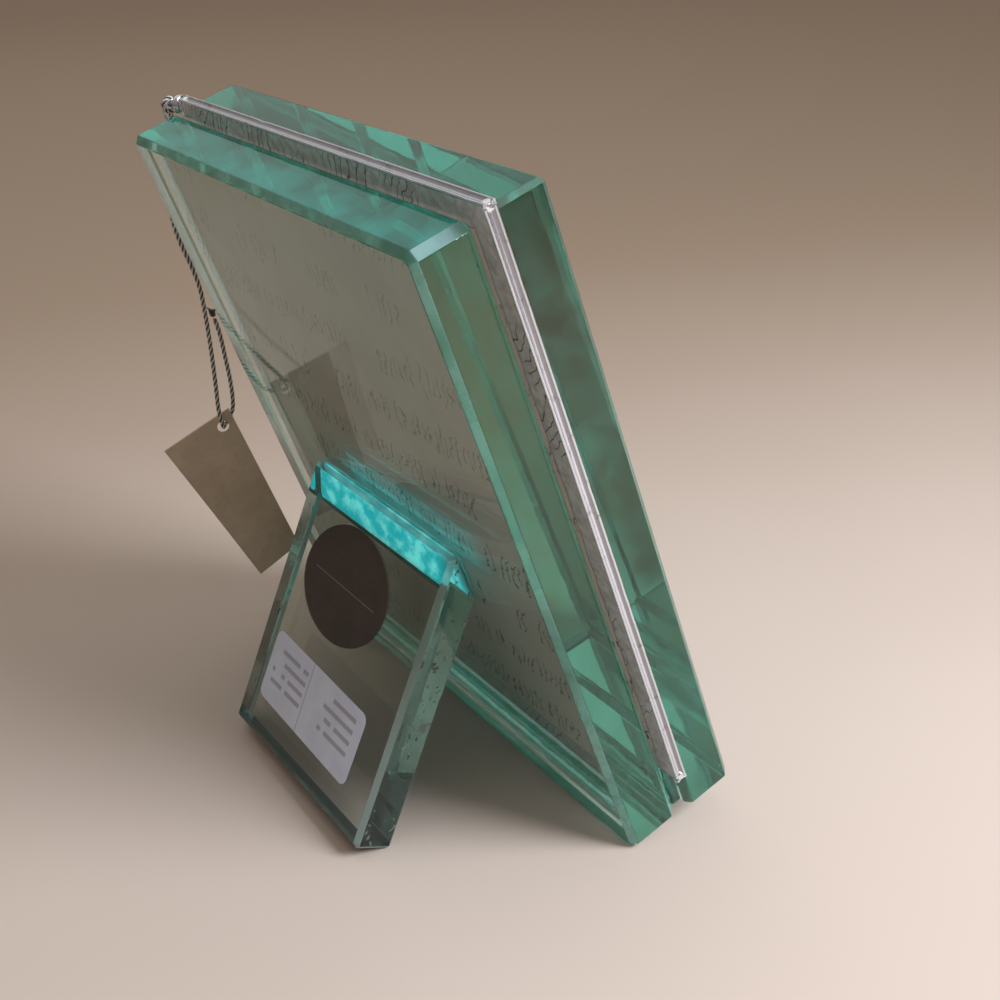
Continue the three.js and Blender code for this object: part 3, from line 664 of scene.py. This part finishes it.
def dress(name, mat, bevel=0.0, segments=2, angle=25.0):
    """Gives a kept node its material and eases its sharp edges."""
    ob = nodes[name]
    ob.data.materials.clear()
    ob.data.materials.append(mat)
    if bevel:  # faces are joined along their edges first, and shaded flat
        if "custom_normal" in ob.data.attributes:
            ob.data.attributes.remove(ob.data.attributes["custom_normal"])
        ob.data.shade_flat()
        w = ob.modifiers.new("joined", "WELD")
        w.merge_threshold = 1e-6
        b = ob.modifiers.new("eased", "BEVEL")
        b.width = bevel * 0.001
        b.segments = segments
        b.limit_method = "ANGLE"
        b.angle_limit = math.radians(angle)
        b.use_clamp_overlap = True
    return ob


dress("rear_plate", GLASS_PLATE, 0.16)
dress("front_plate", GLASS_FRONT, 0.16)
dress("support_leg", GLASS_LEG, 0.16)
dress("spacer_strip", strip_glass(), 0.06)
nodes["spacer_strip"].visible_shadow = False
dress("backing_card", backing_paper())
dress("picture_card", picture_paper())
dress("panel_cover", clear_sheet(), 0.04)
dress("oval_sticker", dark_sticker(), 0.03, 1)
dress("plain_label", pale_label(), 0.03, 1)
dress("cut_bead", crystal(), 0.02, 1, 10.0)


# ------------------------------------------------------------------ adhesive
def film(name, node, x0, x1, z0, z1, y0, y1, mat, wobble, seed):
    """A thin film between two glass faces with an uneven outline and a rounded rim."""
    outline = []
    n = 260
    per = 2 * ((x1 - x0) + (z1 - z0))
    for i in range(n):
        s = per * i / n
        if s < x1 - x0:
            p, d = (x0 + s, z0), (0, -1)
        elif s < (x1 - x0) + (z1 - z0):
            p, d = (x1, z0 + s - (x1 - x0)), (1, 0)
        elif s < 2 * (x1 - x0) + (z1 - z0):
            p, d = (x1 - (s - (x1 - x0) - (z1 - z0)), z1), (0, 1)
        else:
            p, d = (x0, z1 - (s - 2 * (x1 - x0) - (z1 - z0))), (-1, 0)
        w = noise.noise(Vector((p[0] * 0.35, p[1] * 0.35, seed))) * wobble
        outline.append((p[0] + d[0] * w, p[1] + d[1] * w))
    cx, cz = (x0 + x1) / 2, (z0 + z1) / 2
    verts, faces = [], []
    layers = [(y0, 0.25), (y0 + (y1 - y0) * 0.2, 0.05), ((y0 + y1) / 2, 0.0), (y1 - (y1 - y0) * 0.2, 0.05), (y1, 0.25)]
    for y, inset in layers:
        for x, z in outline:
            fx = (x - cx) * (1 - inset / max(abs(x - cx), 1.0)) if abs(x - cx) > 1 else x - cx
            fz = (z - cz) * (1 - inset / max(abs(z - cz), 1.0)) if abs(z - cz) > 1 else z - cz
            verts.append(plate(cx + fx, y, cz + fz))
    for k in range(len(layers) - 1):
        for i in range(n):
            j = (i + 1) % n
            faces.append((k * n + i, k * n + j, (k + 1) * n + j, (k + 1) * n + i))
    faces.append(tuple(range(n)))
    faces.append(tuple(range((len(layers) - 1) * n, len(layers) * n)))
    ob = mesh_piece(name, verts, faces, 50.0, [mat])
    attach(ob, "glass_stand")
    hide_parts(node)
    return ob


FILM = glue("film_clear", 1.0)
film("strip_film_front", "spacer_bond_front", -48.3, 48.3, 2.85, 10.85, -3.64, -3.26, FILM, 0.3, 2.0)
film("strip_film_rear", "spacer_bond_rear", -48.3, 48.3, 2.85, 10.85, -1.34, -0.96, FILM, 0.3, 5.0)


def leg_glue():
    """Adhesive of the leg's mitre: a film between the glass faces, squeezed out into a small uneven fillet all round."""
    x1 = 24.1  # half width of the glass face it bonds
    z0, z1 = 46.2, 55.85
    mitre_foot = (45.95 - 8.0 - 9.4 * math.cos(LEG_A)) / math.sin(LEG_A)
    z0 = mitre_foot + 0.9
    n_x, n_z = 120, 34
    ring = []
    for i in range(n_x):
        ring.append((-x1 + 2 * x1 * i / n_x, z0, 0, -1))
    for i in range(n_z):
        ring.append((x1, z0 + (z1 - z0) * i / n_z, 1, 0))
    for i in range(n_x):
        ring.append((x1 - 2 * x1 * i / n_x, z1, 0, 1))
    for i in range(n_z):
        ring.append((-x1, z1 - (z1 - z0) * i / n_z, -1, 0))
    n = len(ring)
    # offset from the bonded face's outline, height above the rear plate's face
    layers = [(-0.35, 0.02), (0.5, 0.02), (0.52, 0.05), (0.36, 0.1), (0.2, 0.22), (0.08, 0.4), (-0.02, 0.5), (-0.35, 0.46)]
    verts, faces = [], []
    for off, high in layers:
        for x, z, dx, dz in ring:
            w = noise.noise(Vector((x * 0.3, z * 0.3, 9.0))) * 0.28 + noise.noise(Vector((x * 1.3, z * 1.3, 4.0))) * 0.1
            grow = off * (1.0 + w) if off > 0 else off
            # corners are rounded by pulling the ring in where two sides meet
            cx = max(0.0, abs(x) - (x1 - 1.2)) / 1.2
            cz = max(0.0, abs(z - (z0 + z1) / 2) - ((z1 - z0) / 2 - 1.2)) / 1.2
            pull = 0.5 * cx * cz
            verts.append(
                plate(
                    x + dx * grow - math.copysign(pull, x),
                    9.0 + high,
                    z + dz * grow - math.copysign(pull, z - (z0 + z1) / 2),
                )
            )
    for k in range(len(layers) - 1):
        for i in range(n):
            j = (i + 1) % n
            faces.append((k * n + i, k * n + j, (k + 1) * n + j, (k + 1) * n + i))
    for first in (0, (len(layers) - 1) * n):
        verts.append(sum((verts[first + i] for i in range(n)), Vector((0, 0, 0))) / n)
        faces += [(first + i, first + (i + 1) % n, len(verts) - 1) for i in range(n)]
    # painted light: the strong aqua colour and the glow of this adhesive stand in for light piped along the leg
    aqua = glue("glue_aqua", 0.5, (0.03, 0.7, 0.76), (0.3, 0.97, 0.98), 0.46)
    rim = glue("glue_rim", 0.85, (0.3, 0.72, 0.68), (0.62, 0.93, 0.9))
    ob = mesh_piece("leg_adhesive", verts, faces, 50.0, [aqua, rim], [1] * (len(faces) - 2 * n) + [0] * (2 * n))
    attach(ob, "glass_stand")
    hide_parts("leg_bond")


leg_glue()

# ------------------------------------------------------------------ metal edging of the panel


def edging_section():
    """Closed outline (across from front to rear, inwards): two round rims with a hollow between, and a lip over the front."""
    pts = []
    for k in range(7):  # front rim
        a = math.pi + k / 6 * (math.pi * 0.86)
        pts.append((-0.79 + 0.21 * math.cos(a), 0.21 + 0.21 * math.sin(a)))
    for k in range(1, 10):  # hollow
        a = -0.6 + 1.2 * k / 10
        pts.append((a, 0.34 - 0.24 * (a / 0.6) ** 2))
    for k in range(7):  # rear rim
        a = math.pi * 1.14 + k / 6 * (math.pi * 0.86)
        pts.append((0.79 + 0.21 * math.cos(a), 0.21 + 0.21 * math.sin(a)))
    pts += [(1.0, 0.4), (0.96, 0.45), (0.2, 0.45), (-0.6, 0.45), (-0.69, 0.5), (-0.7, 0.88), (-0.74, 0.94), (-0.85, 0.95), (-0.95, 0.94), (-1.0, 0.88), (-1.0, 0.5)]
    return pts


def edging(name, node, start, along, inward, length, seed):
    section = edging_section()
    count = round(length / 0.8)
    verts, faces = [], []
    m = len(section)
    for i in range(count + 1):
        t = length * i / count
        for k, (a, d) in enumerate(section):
            outer = max(0.0, 1.0 - d / 0.42)
            slow = 0.5 + 0.5 * noise.noise(Vector((t * 0.11, a * 0.6, seed)))
            fast = 0.5 + 0.5 * noise.noise(Vector((t * 0.8, a * 2.2, seed + 11.0)))
            dent = max(0.0, noise.noise(Vector((t * 0.33, a * 0.5, seed + 23.0))) - 0.34)
            dd = d + outer * (0.05 * slow + 0.03 * fast + 0.3 * dent)
            aa = a * (1.0 - outer * 0.04 * (1 - fast))
            verts.append(plate(start[0] + along[0] * t + inward[0] * dd, PANEL_Y + aa, start[1] + along[1] * t + inward[1] * dd))
    for i in range(count):
        for k in range(m):
            j = (k + 1) % m
            faces.append((i * m + k, i * m + j, (i + 1) * m + j, (i + 1) * m + k))
    faces.append(tuple(range(m)))
    faces.append(tuple(range(count * m, (count + 1) * m)))
    # painted shade: the faces of the hollow take the darker metal
    groove = [1 if -0.58 < (section[k][0] + section[(k + 1) % m][0]) / 2 < -0.02 and section[k][1] < 0.4 else 0 for k in range(m)]
    ob = mesh_piece(name, verts, faces, 42.0, [SILVER_EDGE, SILVER_GROOVE_SHADE], groove * count + [0, 0])
    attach(ob, "panel")
    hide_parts(node)
    return ob


JOIN = 0.98
edging("edging_top", "panel_edge_top", (X0 + 0.1, Z1), (1, 0), (0, -1), X1 - X0 - 0.2, 1.0)
edging("edging_bottom", "panel_edge_bottom", (X0 + 0.1, Z0), (1, 0), (0, 1), X1 - X0 - 0.2, 2.0)
edging("edging_right", "panel_edge_right", (X0, Z0 + JOIN), (0, 1), (1, 0), Z1 - Z0 - 2 * JOIN, 3.0)
edging("edging_left", "panel_edge_left", (X1, Z0 + JOIN), (0, 1), (-1, 0), Z1 - Z0 - 2 * JOIN, 4.0)


def solder(name, x, z, sx, sz, seed):
    """A rounded lump of solder that fills the corner of the edging."""
    bm = bmesh.new()
    bmesh.ops.create_icosphere(bm, subdivisions=4, radius=1.0)
    for v in bm.verts:
        q = v.co.copy()
        r = 1.0 + 0.1 * noise.noise(q * 1.6 + Vector((seed, 0, 0))) + 0.04 * noise.noise(q * 4.0 + Vector((0, seed, 0)))
        q = Vector((math.copysign(abs(q.x) ** 0.75, q.x), math.copysign(abs(q.y) ** 0.8, q.y), math.copysign(abs(q.z) ** 0.75, q.z))) * r
        v.co = plate(x + sx * 0.92 + min(max(q.x * 0.86, -0.92), 1.1), PANEL_Y + min(max(q.y * 0.94, -1.0), 1.02), z + sz * 0.92 + min(max(q.z * 0.86, -0.92), 0.92))
    for f in bm.faces:
        f.smooth = True
    me = bpy.data.meshes.new(name)
    bm.to_mesh(me)
    bm.free()
    me.materials.append(SOLDER)
    ob = bpy.data.objects.new(name, me)
    scene.collection.objects.link(ob)
    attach(ob, "panel")
    return ob


solder("solder_top_right", X0, Z1, 1, -1, 3.0)
solder("solder_top_left", X1, Z1, -1, -1, 7.0)
solder("solder_low_right", X0, Z0, 1, 1, 12.0)
solder("solder_low_left", X1, Z0, -1, 1, 17.0)

# ------------------------------------------------------------------ pin, coil and ring
PIN_ROOT = Vector((47.9, -2.3, 120.2))
PIN_BALL = Vector((54.4, -0.8, 119.85))
PIN_AXIS = (PIN_BALL - PIN_ROOT).normalized()
PIN_LEN = (PIN_BALL - PIN_ROOT).length
PIN_U = Vector((0, 1, 0)) - PIN_AXIS * PIN_AXIS.y
PIN_U.normalize()
PIN_V = PIN_AXIS.cross(PIN_U)


def on_pin(x):
    p = PIN_ROOT + PIN_AXIS * ((x - PIN_ROOT.x) / PIN_AXIS.x)
    return plate(p.x, p.y, p.z)


def pin():
    profile = [(0.0, 0.62), (0.06, 0.66), (0.2, 0.56), (0.45, 0.5)]
    shank = PIN_LEN - 0.9 * math.cos(math.asin(0.5 / 0.9))
    for k in range(1, 13):
        t = 0.45 + (shank - 0.12 - 0.45) * k / 12
        profile.append((t, 0.5 - 0.012 * math.sin(k * 1.9)))
    start = math.asin(0.5 / 0.9)
    for k in range(1, 19):
        a = start + (math.pi * 0.985 - start) * k / 18
        profile.append((PIN_LEN - 0.9 * math.cos(a), 0.9 * math.sin(a)))
    sides = 32
    verts, faces = [], []
    for t, r in profile:
        for j in range(sides):
            a = 2 * math.pi * j / sides
            p = PIN_ROOT + PIN_AXIS * t + PIN_U * (r * math.cos(a)) + PIN_V * (r * math.sin(a))
            verts.append(plate(p.x, p.y, p.z))
    for i in range(len(profile) - 1):
        for j in range(sides):
            k = (j + 1) % sides
            faces.append((i * sides + j, i * sides + k, (i + 1) * sides + k, (i + 1) * sides + j))
    faces.append(tuple(range(sides)))
    faces.append(tuple(range((len(profile) - 1) * sides, len(profile) * sides)))
    ob = mesh_piece("pin_with_ball", verts, faces, 45.0, [SILVER_WIRE])
    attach(ob, "panel")
    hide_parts("hanger_pin")


pin()


def coil():
    line = []
    turns, pitch, start, r = 2.05, 0.78, 0.52, 1.35
    for i in range(111):
        t = i / 110
        a = 2 * math.pi * turns * t + 0.9
        rr = r * (1 + 0.012 * math.sin(a * 1.7))
        p = PIN_ROOT + PIN_AXIS * (start + pitch * turns * t) + PIN_V * (-rr * math.cos(a)) + PIN_U * (rr * math.sin(a))
        line.append(plate(p.x, p.y, p.z))
    verts, faces = tube_mesh(line, 0.00036, 14)
    ob = mesh_piece("coil_wire", verts, faces, 60.0, [SILVER_WIRE])
    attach(ob, "panel")
    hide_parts("wire_coil")


coil()

RING_AT = on_pin(51.55)
RING_Z = RING_AT.z + (0.5 + 0.15 - (2.1 - 0.22)) * 0.001


def jump_ring():
    line = []
    for i in range(97):
        a = math.radians(62) + math.radians(357.5) * i / 96
        line.append(Vector((RING_AT.x, RING_AT.y + 0.0021 * math.cos(a), RING_Z + 0.0021 * math.sin(a))))
    verts, faces = tube_mesh(line, 0.00022, 12, round_ends=False)
    ob = mesh_piece("ring_wire", verts, faces, 50.0, [SILVER_WIRE])
    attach(ob, "ring_charm")
    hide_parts("hanging_ring")


jump_ring()

# ------------------------------------------------------------------ tag, cord, knot and hitch
TURN = math.radians(12)
TAG_OUT = Vector((-math.cos(TURN), math.sin(TURN), 0))
TAG_ACROSS = Vector((math.sin(TURN), math.cos(TURN), 0))
TAG_UP = Vector((0, 0, 1))
HOLE = Vector((54.6, 27.0, 51.2))


def near(out, across, up):
    p = HOLE + TAG_OUT * out + TAG_ACROSS * across + TAG_UP * up
    return hung(p.x, p.y, p.z)


LIGHT_THREAD = thread("cord_light", (0.8, 0.78, 0.74), (0.5, 0.48, 0.45), 0.42, 0.15)
DARK_THREAD = thread("cord_dark", (0.085, 0.075, 0.06), (0.03, 0.026, 0.022), 0.55, 0.0)
HITCH_AT = on_pin(52.95)
CORD_TOP = Vector((HITCH_AT.x, HITCH_AT.y, HITCH_AT.z - (1.18 + 0.45 + 0.12) * 0.001))
KNOT = Vector((54.1, 26.7, 75.6))
ROUTE = [
    CORD_TOP,
    hung(53.0, 30.95, 111.5),
    hung(53.15, 31.75, 107.0),
    hung(53.45, 32.5, 102.0),
    hung(53.8, 32.75, 97.5),
    hung(54.0, 32.2, 93.2),
    hung(54.0, 31.2, 89.4),
    hung(54.0, 29.85, 85.4),
    hung(54.0, 28.75, 81.0),
    hung(54.0, 28.25, 75.4),
    hung(53.95, 27.95, 68.2),
    hung(53.75, 27.9, 59.3),
    near(1.35, 0.75, 4.2),
    near(1.35, 0.45, 1.9),
    near(0.85, 0.1, 0.25),
    near(0.0, -0.2, -0.05),
    near(-0.95, -0.75, 0.1),
    near(-1.6, -1.75, 1.05),
    near(-1.65, -2.6, 2.9),
    hung(55.3, 24.0, 57.0),
    hung(54.9, 24.3, 61.0),
    hung(54.55, 24.95, 66.0),
    hung(54.3, 25.6, 70.9),
    hung(KNOT.x + 0.05, KNOT.y - 0.35, KNOT.z - 1.5),
]
LINE, CORD_LENGTH = even_steps(smooth_route(ROUTE), 0.00017)


def twisted(line, pitch, offset, radius, sides, closed=False, seed=0.0):
    """Four plies laid round a line, light and dark by turns."""
    rows = transport(line, closed)
    n = len(line)
    step = (line[1] - line[0]).length
    turns = step * n / pitch
    if closed:
        turns = max(1, round(turns))
    parts = []
    twist0 = 0.0
    if closed:  # closes the turn that the frames gain on the way round
        u0, v0 = rows[0][1], rows[0][2]
        t_last = rows[-1]
        carried = t_last[1] - rows[0][0] * t_last[1].dot(rows[0][0])
        carried.normalize()
        twist0 = math.atan2(carried.dot(v0), carried.dot(u0))
    for ply in range(4):
        pts = []
        for i in range(n):
            a = 2 * math.pi * (turns * i / n + ply / 4) - (twist0 * i / n if closed else 0.0)
            wob = 1 + 0.06 * noise.noise(Vector((i * 0.05, ply * 3.0, seed)))
            pts.append(line[i] + (rows[i][1] * math.cos(a) + rows[i][2] * math.sin(a)) * offset * wob)
        v, f = tube_mesh(pts, radius, sides, closed)
        parts.append((v, f, ply % 2))
    return merged(parts)


verts, faces, index = twisted(LINE, 0.0026, 0.000265, 0.000185, 7)
cord = mesh_piece("cord_twisted", verts, faces, 70.0, [LIGHT_THREAD, DARK_THREAD], index)
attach(cord, "tag")
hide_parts("tag_cord")

hitch_line = []
for i in range(56):
    a = 2 * math.pi * i / 56
    hitch_line.append(HITCH_AT + Vector((0, math.cos(a), math.sin(a))) * 0.00118)
verts, faces, index = twisted(hitch_line, 0.0025, 0.00025, 0.00018, 8, True, 5.0)
hitch = mesh_piece("cord_loop", verts, faces, 70.0, [LIGHT_THREAD, DARK_THREAD], index)
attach(hitch, "tag")
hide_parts("cord_hitch")


def knot():
    """A pulled-tight knot of dark thread with two cut tails."""
    at = hung(KNOT.x, KNOT.y, KNOT.z)
    line = []
    for i in range(120):
        a = 2 * math.pi * i / 120
        x = math.sin(a) + 2 * math.sin(2 * a)
        y = math.cos(a) - 2 * math.cos(2 * a)
        z = -math.sin(3 * a)
        line.append(at + Vector((z * 0.36, x * 0.2, y * 0.235)) * 0.001)
    parts = [(*tube_mesh(line, 0.00024, 9, True), 0)]
    for sign, tip in ((1, (0.35, 0.75, 0.95)), (-1, (-0.2, -0.8, 0.75))):
        a, b = at + Vector((0, 0.15 * sign, 0.1)) * 0.001, at + Vector(tip) * 0.001
        mid = (a + b) / 2 + Vector((0.1, 0.0, 0.12)) * 0.001
        tail = [a.lerp(mid, k / 6).lerp(mid.lerp(b, k / 6), k / 6) for k in range(7)]
        parts.append((*tube_mesh(tail, [0.0002 - 0.00001 * k for k in range(7)], 8), 0))
    core = bmesh.new()
    bmesh.ops.create_icosphere(core, subdivisions=3, radius=1.0)
    v = [at + Vector((q.co.x * 0.42, q.co.y * 0.5, q.co.z * 0.6)) * 0.001 * (1 + 0.15 * noise.noise(q.co * 2.5)) for q in core.verts]
    f = [tuple(w.index for w in face.verts) for face in core.faces]
    core.free()
    parts.append((v, f, 0))
    verts, faces, index = merged(parts)
    ob = mesh_piece("cord_tie", verts, faces, 60.0, [DARK_THREAD], index)
    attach(ob, "tag")
    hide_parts("cord_knot")
    return ob


tie = knot()


def tag():
    """A thin card hung by a corner hole, slightly twisted and bowed, with a punched hole and eased edges."""
    near_top, far_top = np.array((-1.5, 3.75)), np.array((12.4, -3.4))
    near_end, far_end = np.array((-13.6, -30.6)), np.array((-4.1, -34.5))

    def place(a, d):
        return (near_top * (1 - a) + far_top * a) * (1 - d) + (near_end * (1 - a) + far_end * a) * d

    def inverse(q):
        a = d = 0.5
        for _ in range(25):
            f = place(a, d) - q
            ja = (far_top - near_top) * (1 - d) + (far_end - near_end) * d
            jd = (near_end - near_top) * (1 - a) + (far_end - far_top) * a
            det = ja[0] * jd[1] - ja[1] * jd[0]
            a -= (f[0] * jd[1] - f[1] * jd[0]) / det
            d -= (ja[0] * f[1] - ja[1] * f[0]) / det
        return a, d

    corners = [near_top, far_top, far_end, near_end]
    border = []
    for i in range(4):
        p, q = corners[i], corners[(i + 1) % 4]
        count = max(6, round(np.linalg.norm(q - p) / 0.8))
        for k in range(count):
            border.append(p + (q - p) * k / count)
    n = len(border)
    rings = 26
    flat = []
    # points round the hole: towards the outline's points, spread a little more evenly
    turn = np.unwrap([math.atan2(b[1], b[0]) for b in border])
    turn = 0.75 * turn + 0.25 * (turn[0] - 2 * math.pi * np.arange(n) / n)
    for j in range(rings + 1):
        t = (j / rings) ** 1.6
        for b, ang in zip(border, turn):
            hole = np.array((math.cos(ang), math.sin(ang))) * 1.25
            flat.append(hole + (b - hole) * t)
    verts, faces = [], []
    for side in (1, -1):
        for q in flat:
            a, d = inverse(q)
            low = max(0.0, d - 0.25) / 0.75
            out = (a - 0.5) * 3.2 * low * low
            lip = 0.05 * math.exp(-((np.linalg.norm(q) - 1.25) / 0.35) ** 2)
            verts.append(near(out + side * (0.25 - lip * (side < 0)), q[0], q[1]))
    m = len(flat)
    for j in range(rings):
        for i in range(n):
            k = (i + 1) % n
            faces.append((j * n + i, j * n + k, (j + 1) * n + k, (j + 1) * n + i))
            faces.append((m + j * n + k, m + j * n + i, m + (j + 1) * n + i, m + (j + 1) * n + k))
    for i in range(n):
        k = (i + 1) % n
        faces.append((i, m + i, m + k, k))
        faces.append((rings * n + i, rings * n + k, m + rings * n + k, m + rings * n + i))
    up = Vector((TAG_ACROSS * 12.0 + TAG_UP * 34.0)).normalized()
    wide = up.cross(TAG_OUT)
    ob = mesh_piece("tag_card_piece", verts, faces, 35.0, [tag_paper(wide, up)])
    b = ob.modifiers.new("eased", "BEVEL")
    b.width, b.segments, b.limit_method, b.angle_limit = 0.00007, 2, "ANGLE", math.radians(50)
    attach(ob, "tag")
    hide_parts("hang_tag")
    return ob


card = tag()


# ------------------------------------------------------------------ floor and light
def floor_material():
    g = Shade("floor_painted_shade")
    cloud = g.noise(6.0, 3.0, 0.55)
    fine = g.noise(900.0, 2.0, 0.5)
    g.set(
        # painted shade: the floor turns darker and browner towards +X, behind the frame
        color=g.mix(g.step(g.dot((0.95, -0.3, 0.0)), -0.01, 0.34), g.mix(g.step(cloud, 0.3, 0.7), (0.6, 0.51, 0.455), (0.63, 0.54, 0.485)), (0.45, 0.35, 0.27)),
        rough=g.math("MULTIPLY_ADD", fine, 0.1, 0.5),
        spec=0.25,
        normal=g.bump(fine, 0.05, 0.0001),
    )
    return g.m


floor = mesh_piece(
    "floor",
    [Vector((-9, -9, 0)), Vector((9, -9, 0)), Vector((9, 9, 0)), Vector((-9, 9, 0))],
    [(0, 1, 2, 3)],
    40.0,
    [floor_material()],
)

world = bpy.data.worlds.new("studio")
scene.world = world
world.use_nodes = True
wt = world.node_tree
wt.nodes.clear()
w_out = wt.nodes.new("ShaderNodeOutputWorld")
w_bg = wt.nodes.new("ShaderNodeBackground")
w_co = wt.nodes.new("ShaderNodeTexCoord")
w_sep = wt.nodes.new("ShaderNodeSeparateXYZ")
w_ramp = wt.nodes.new("ShaderNodeValToRGB")
wt.links.new(w_co.outputs["Generated"], w_sep.inputs[0])
wt.links.new(w_sep.outputs["Z"], w_ramp.inputs["Fac"])
wt.links.new(w_ramp.outputs["Color"], w_bg.inputs["Color"])
wt.links.new(w_bg.outputs[0], w_out.inputs["Surface"])
stops = [(0.0, (0.2, 0.15, 0.11)), (0.2, (0.24, 0.185, 0.145)), (0.55, (0.36, 0.31, 0.265)), (1.0, (0.5, 0.46, 0.42))]
els = w_ramp.color_ramp.elements
while len(els) < len(stops):
    els.new(0.5)
for e, (pos, col) in zip(els, stops):
    e.position = pos
    e.color = (*col, 1.0)
w_bg.inputs["Strength"].default_value = 0.88


def area(name, at, aim, size, power, color):
    d = bpy.data.lights.new(name, "AREA")
    d.shape = "RECTANGLE"
    d.size, d.size_y = size
    d.energy = power
    d.color = color
    ob = bpy.data.objects.new(name, d)
    scene.collection.objects.link(ob)
    ob.location = at
    ob.rotation_mode = "QUATERNION"
    ob.rotation_quaternion = (Vector(aim) - Vector(at)).to_track_quat("-Z", "Y")
    return ob


key = area("key_soft", (-0.34, -0.18, 0.34), (0.0, 0.0, 0.03), (0.22, 0.22), 2.9, (0.93, 0.96, 1.0))
key.visible_transmission = False
area("rim_soft", (0.75, -0.15, 0.78), (0.0, 0.0, 0.08), (0.95, 0.95), 0.75, (0.93, 0.97, 1.0))
area("top_soft", (0.1, 0.1, 1.4), (0.0, 0.0, 0.05), (1.4, 1.4), 2.0, (1.0, 0.95, 0.9))

scene.view_settings.view_transform = "Standard"
scene.view_settings.look = "None"
scene.view_settings.exposure = 0.0
scene.cycles.max_bounces = 110
scene.cycles.transmission_bounces = 60
scene.cycles.glossy_bounces = 100
scene.cycles.diffuse_bounces = 4
scene.cycles.transparent_max_bounces = 8
scene.cycles.sample_clamp_indirect = 6.0
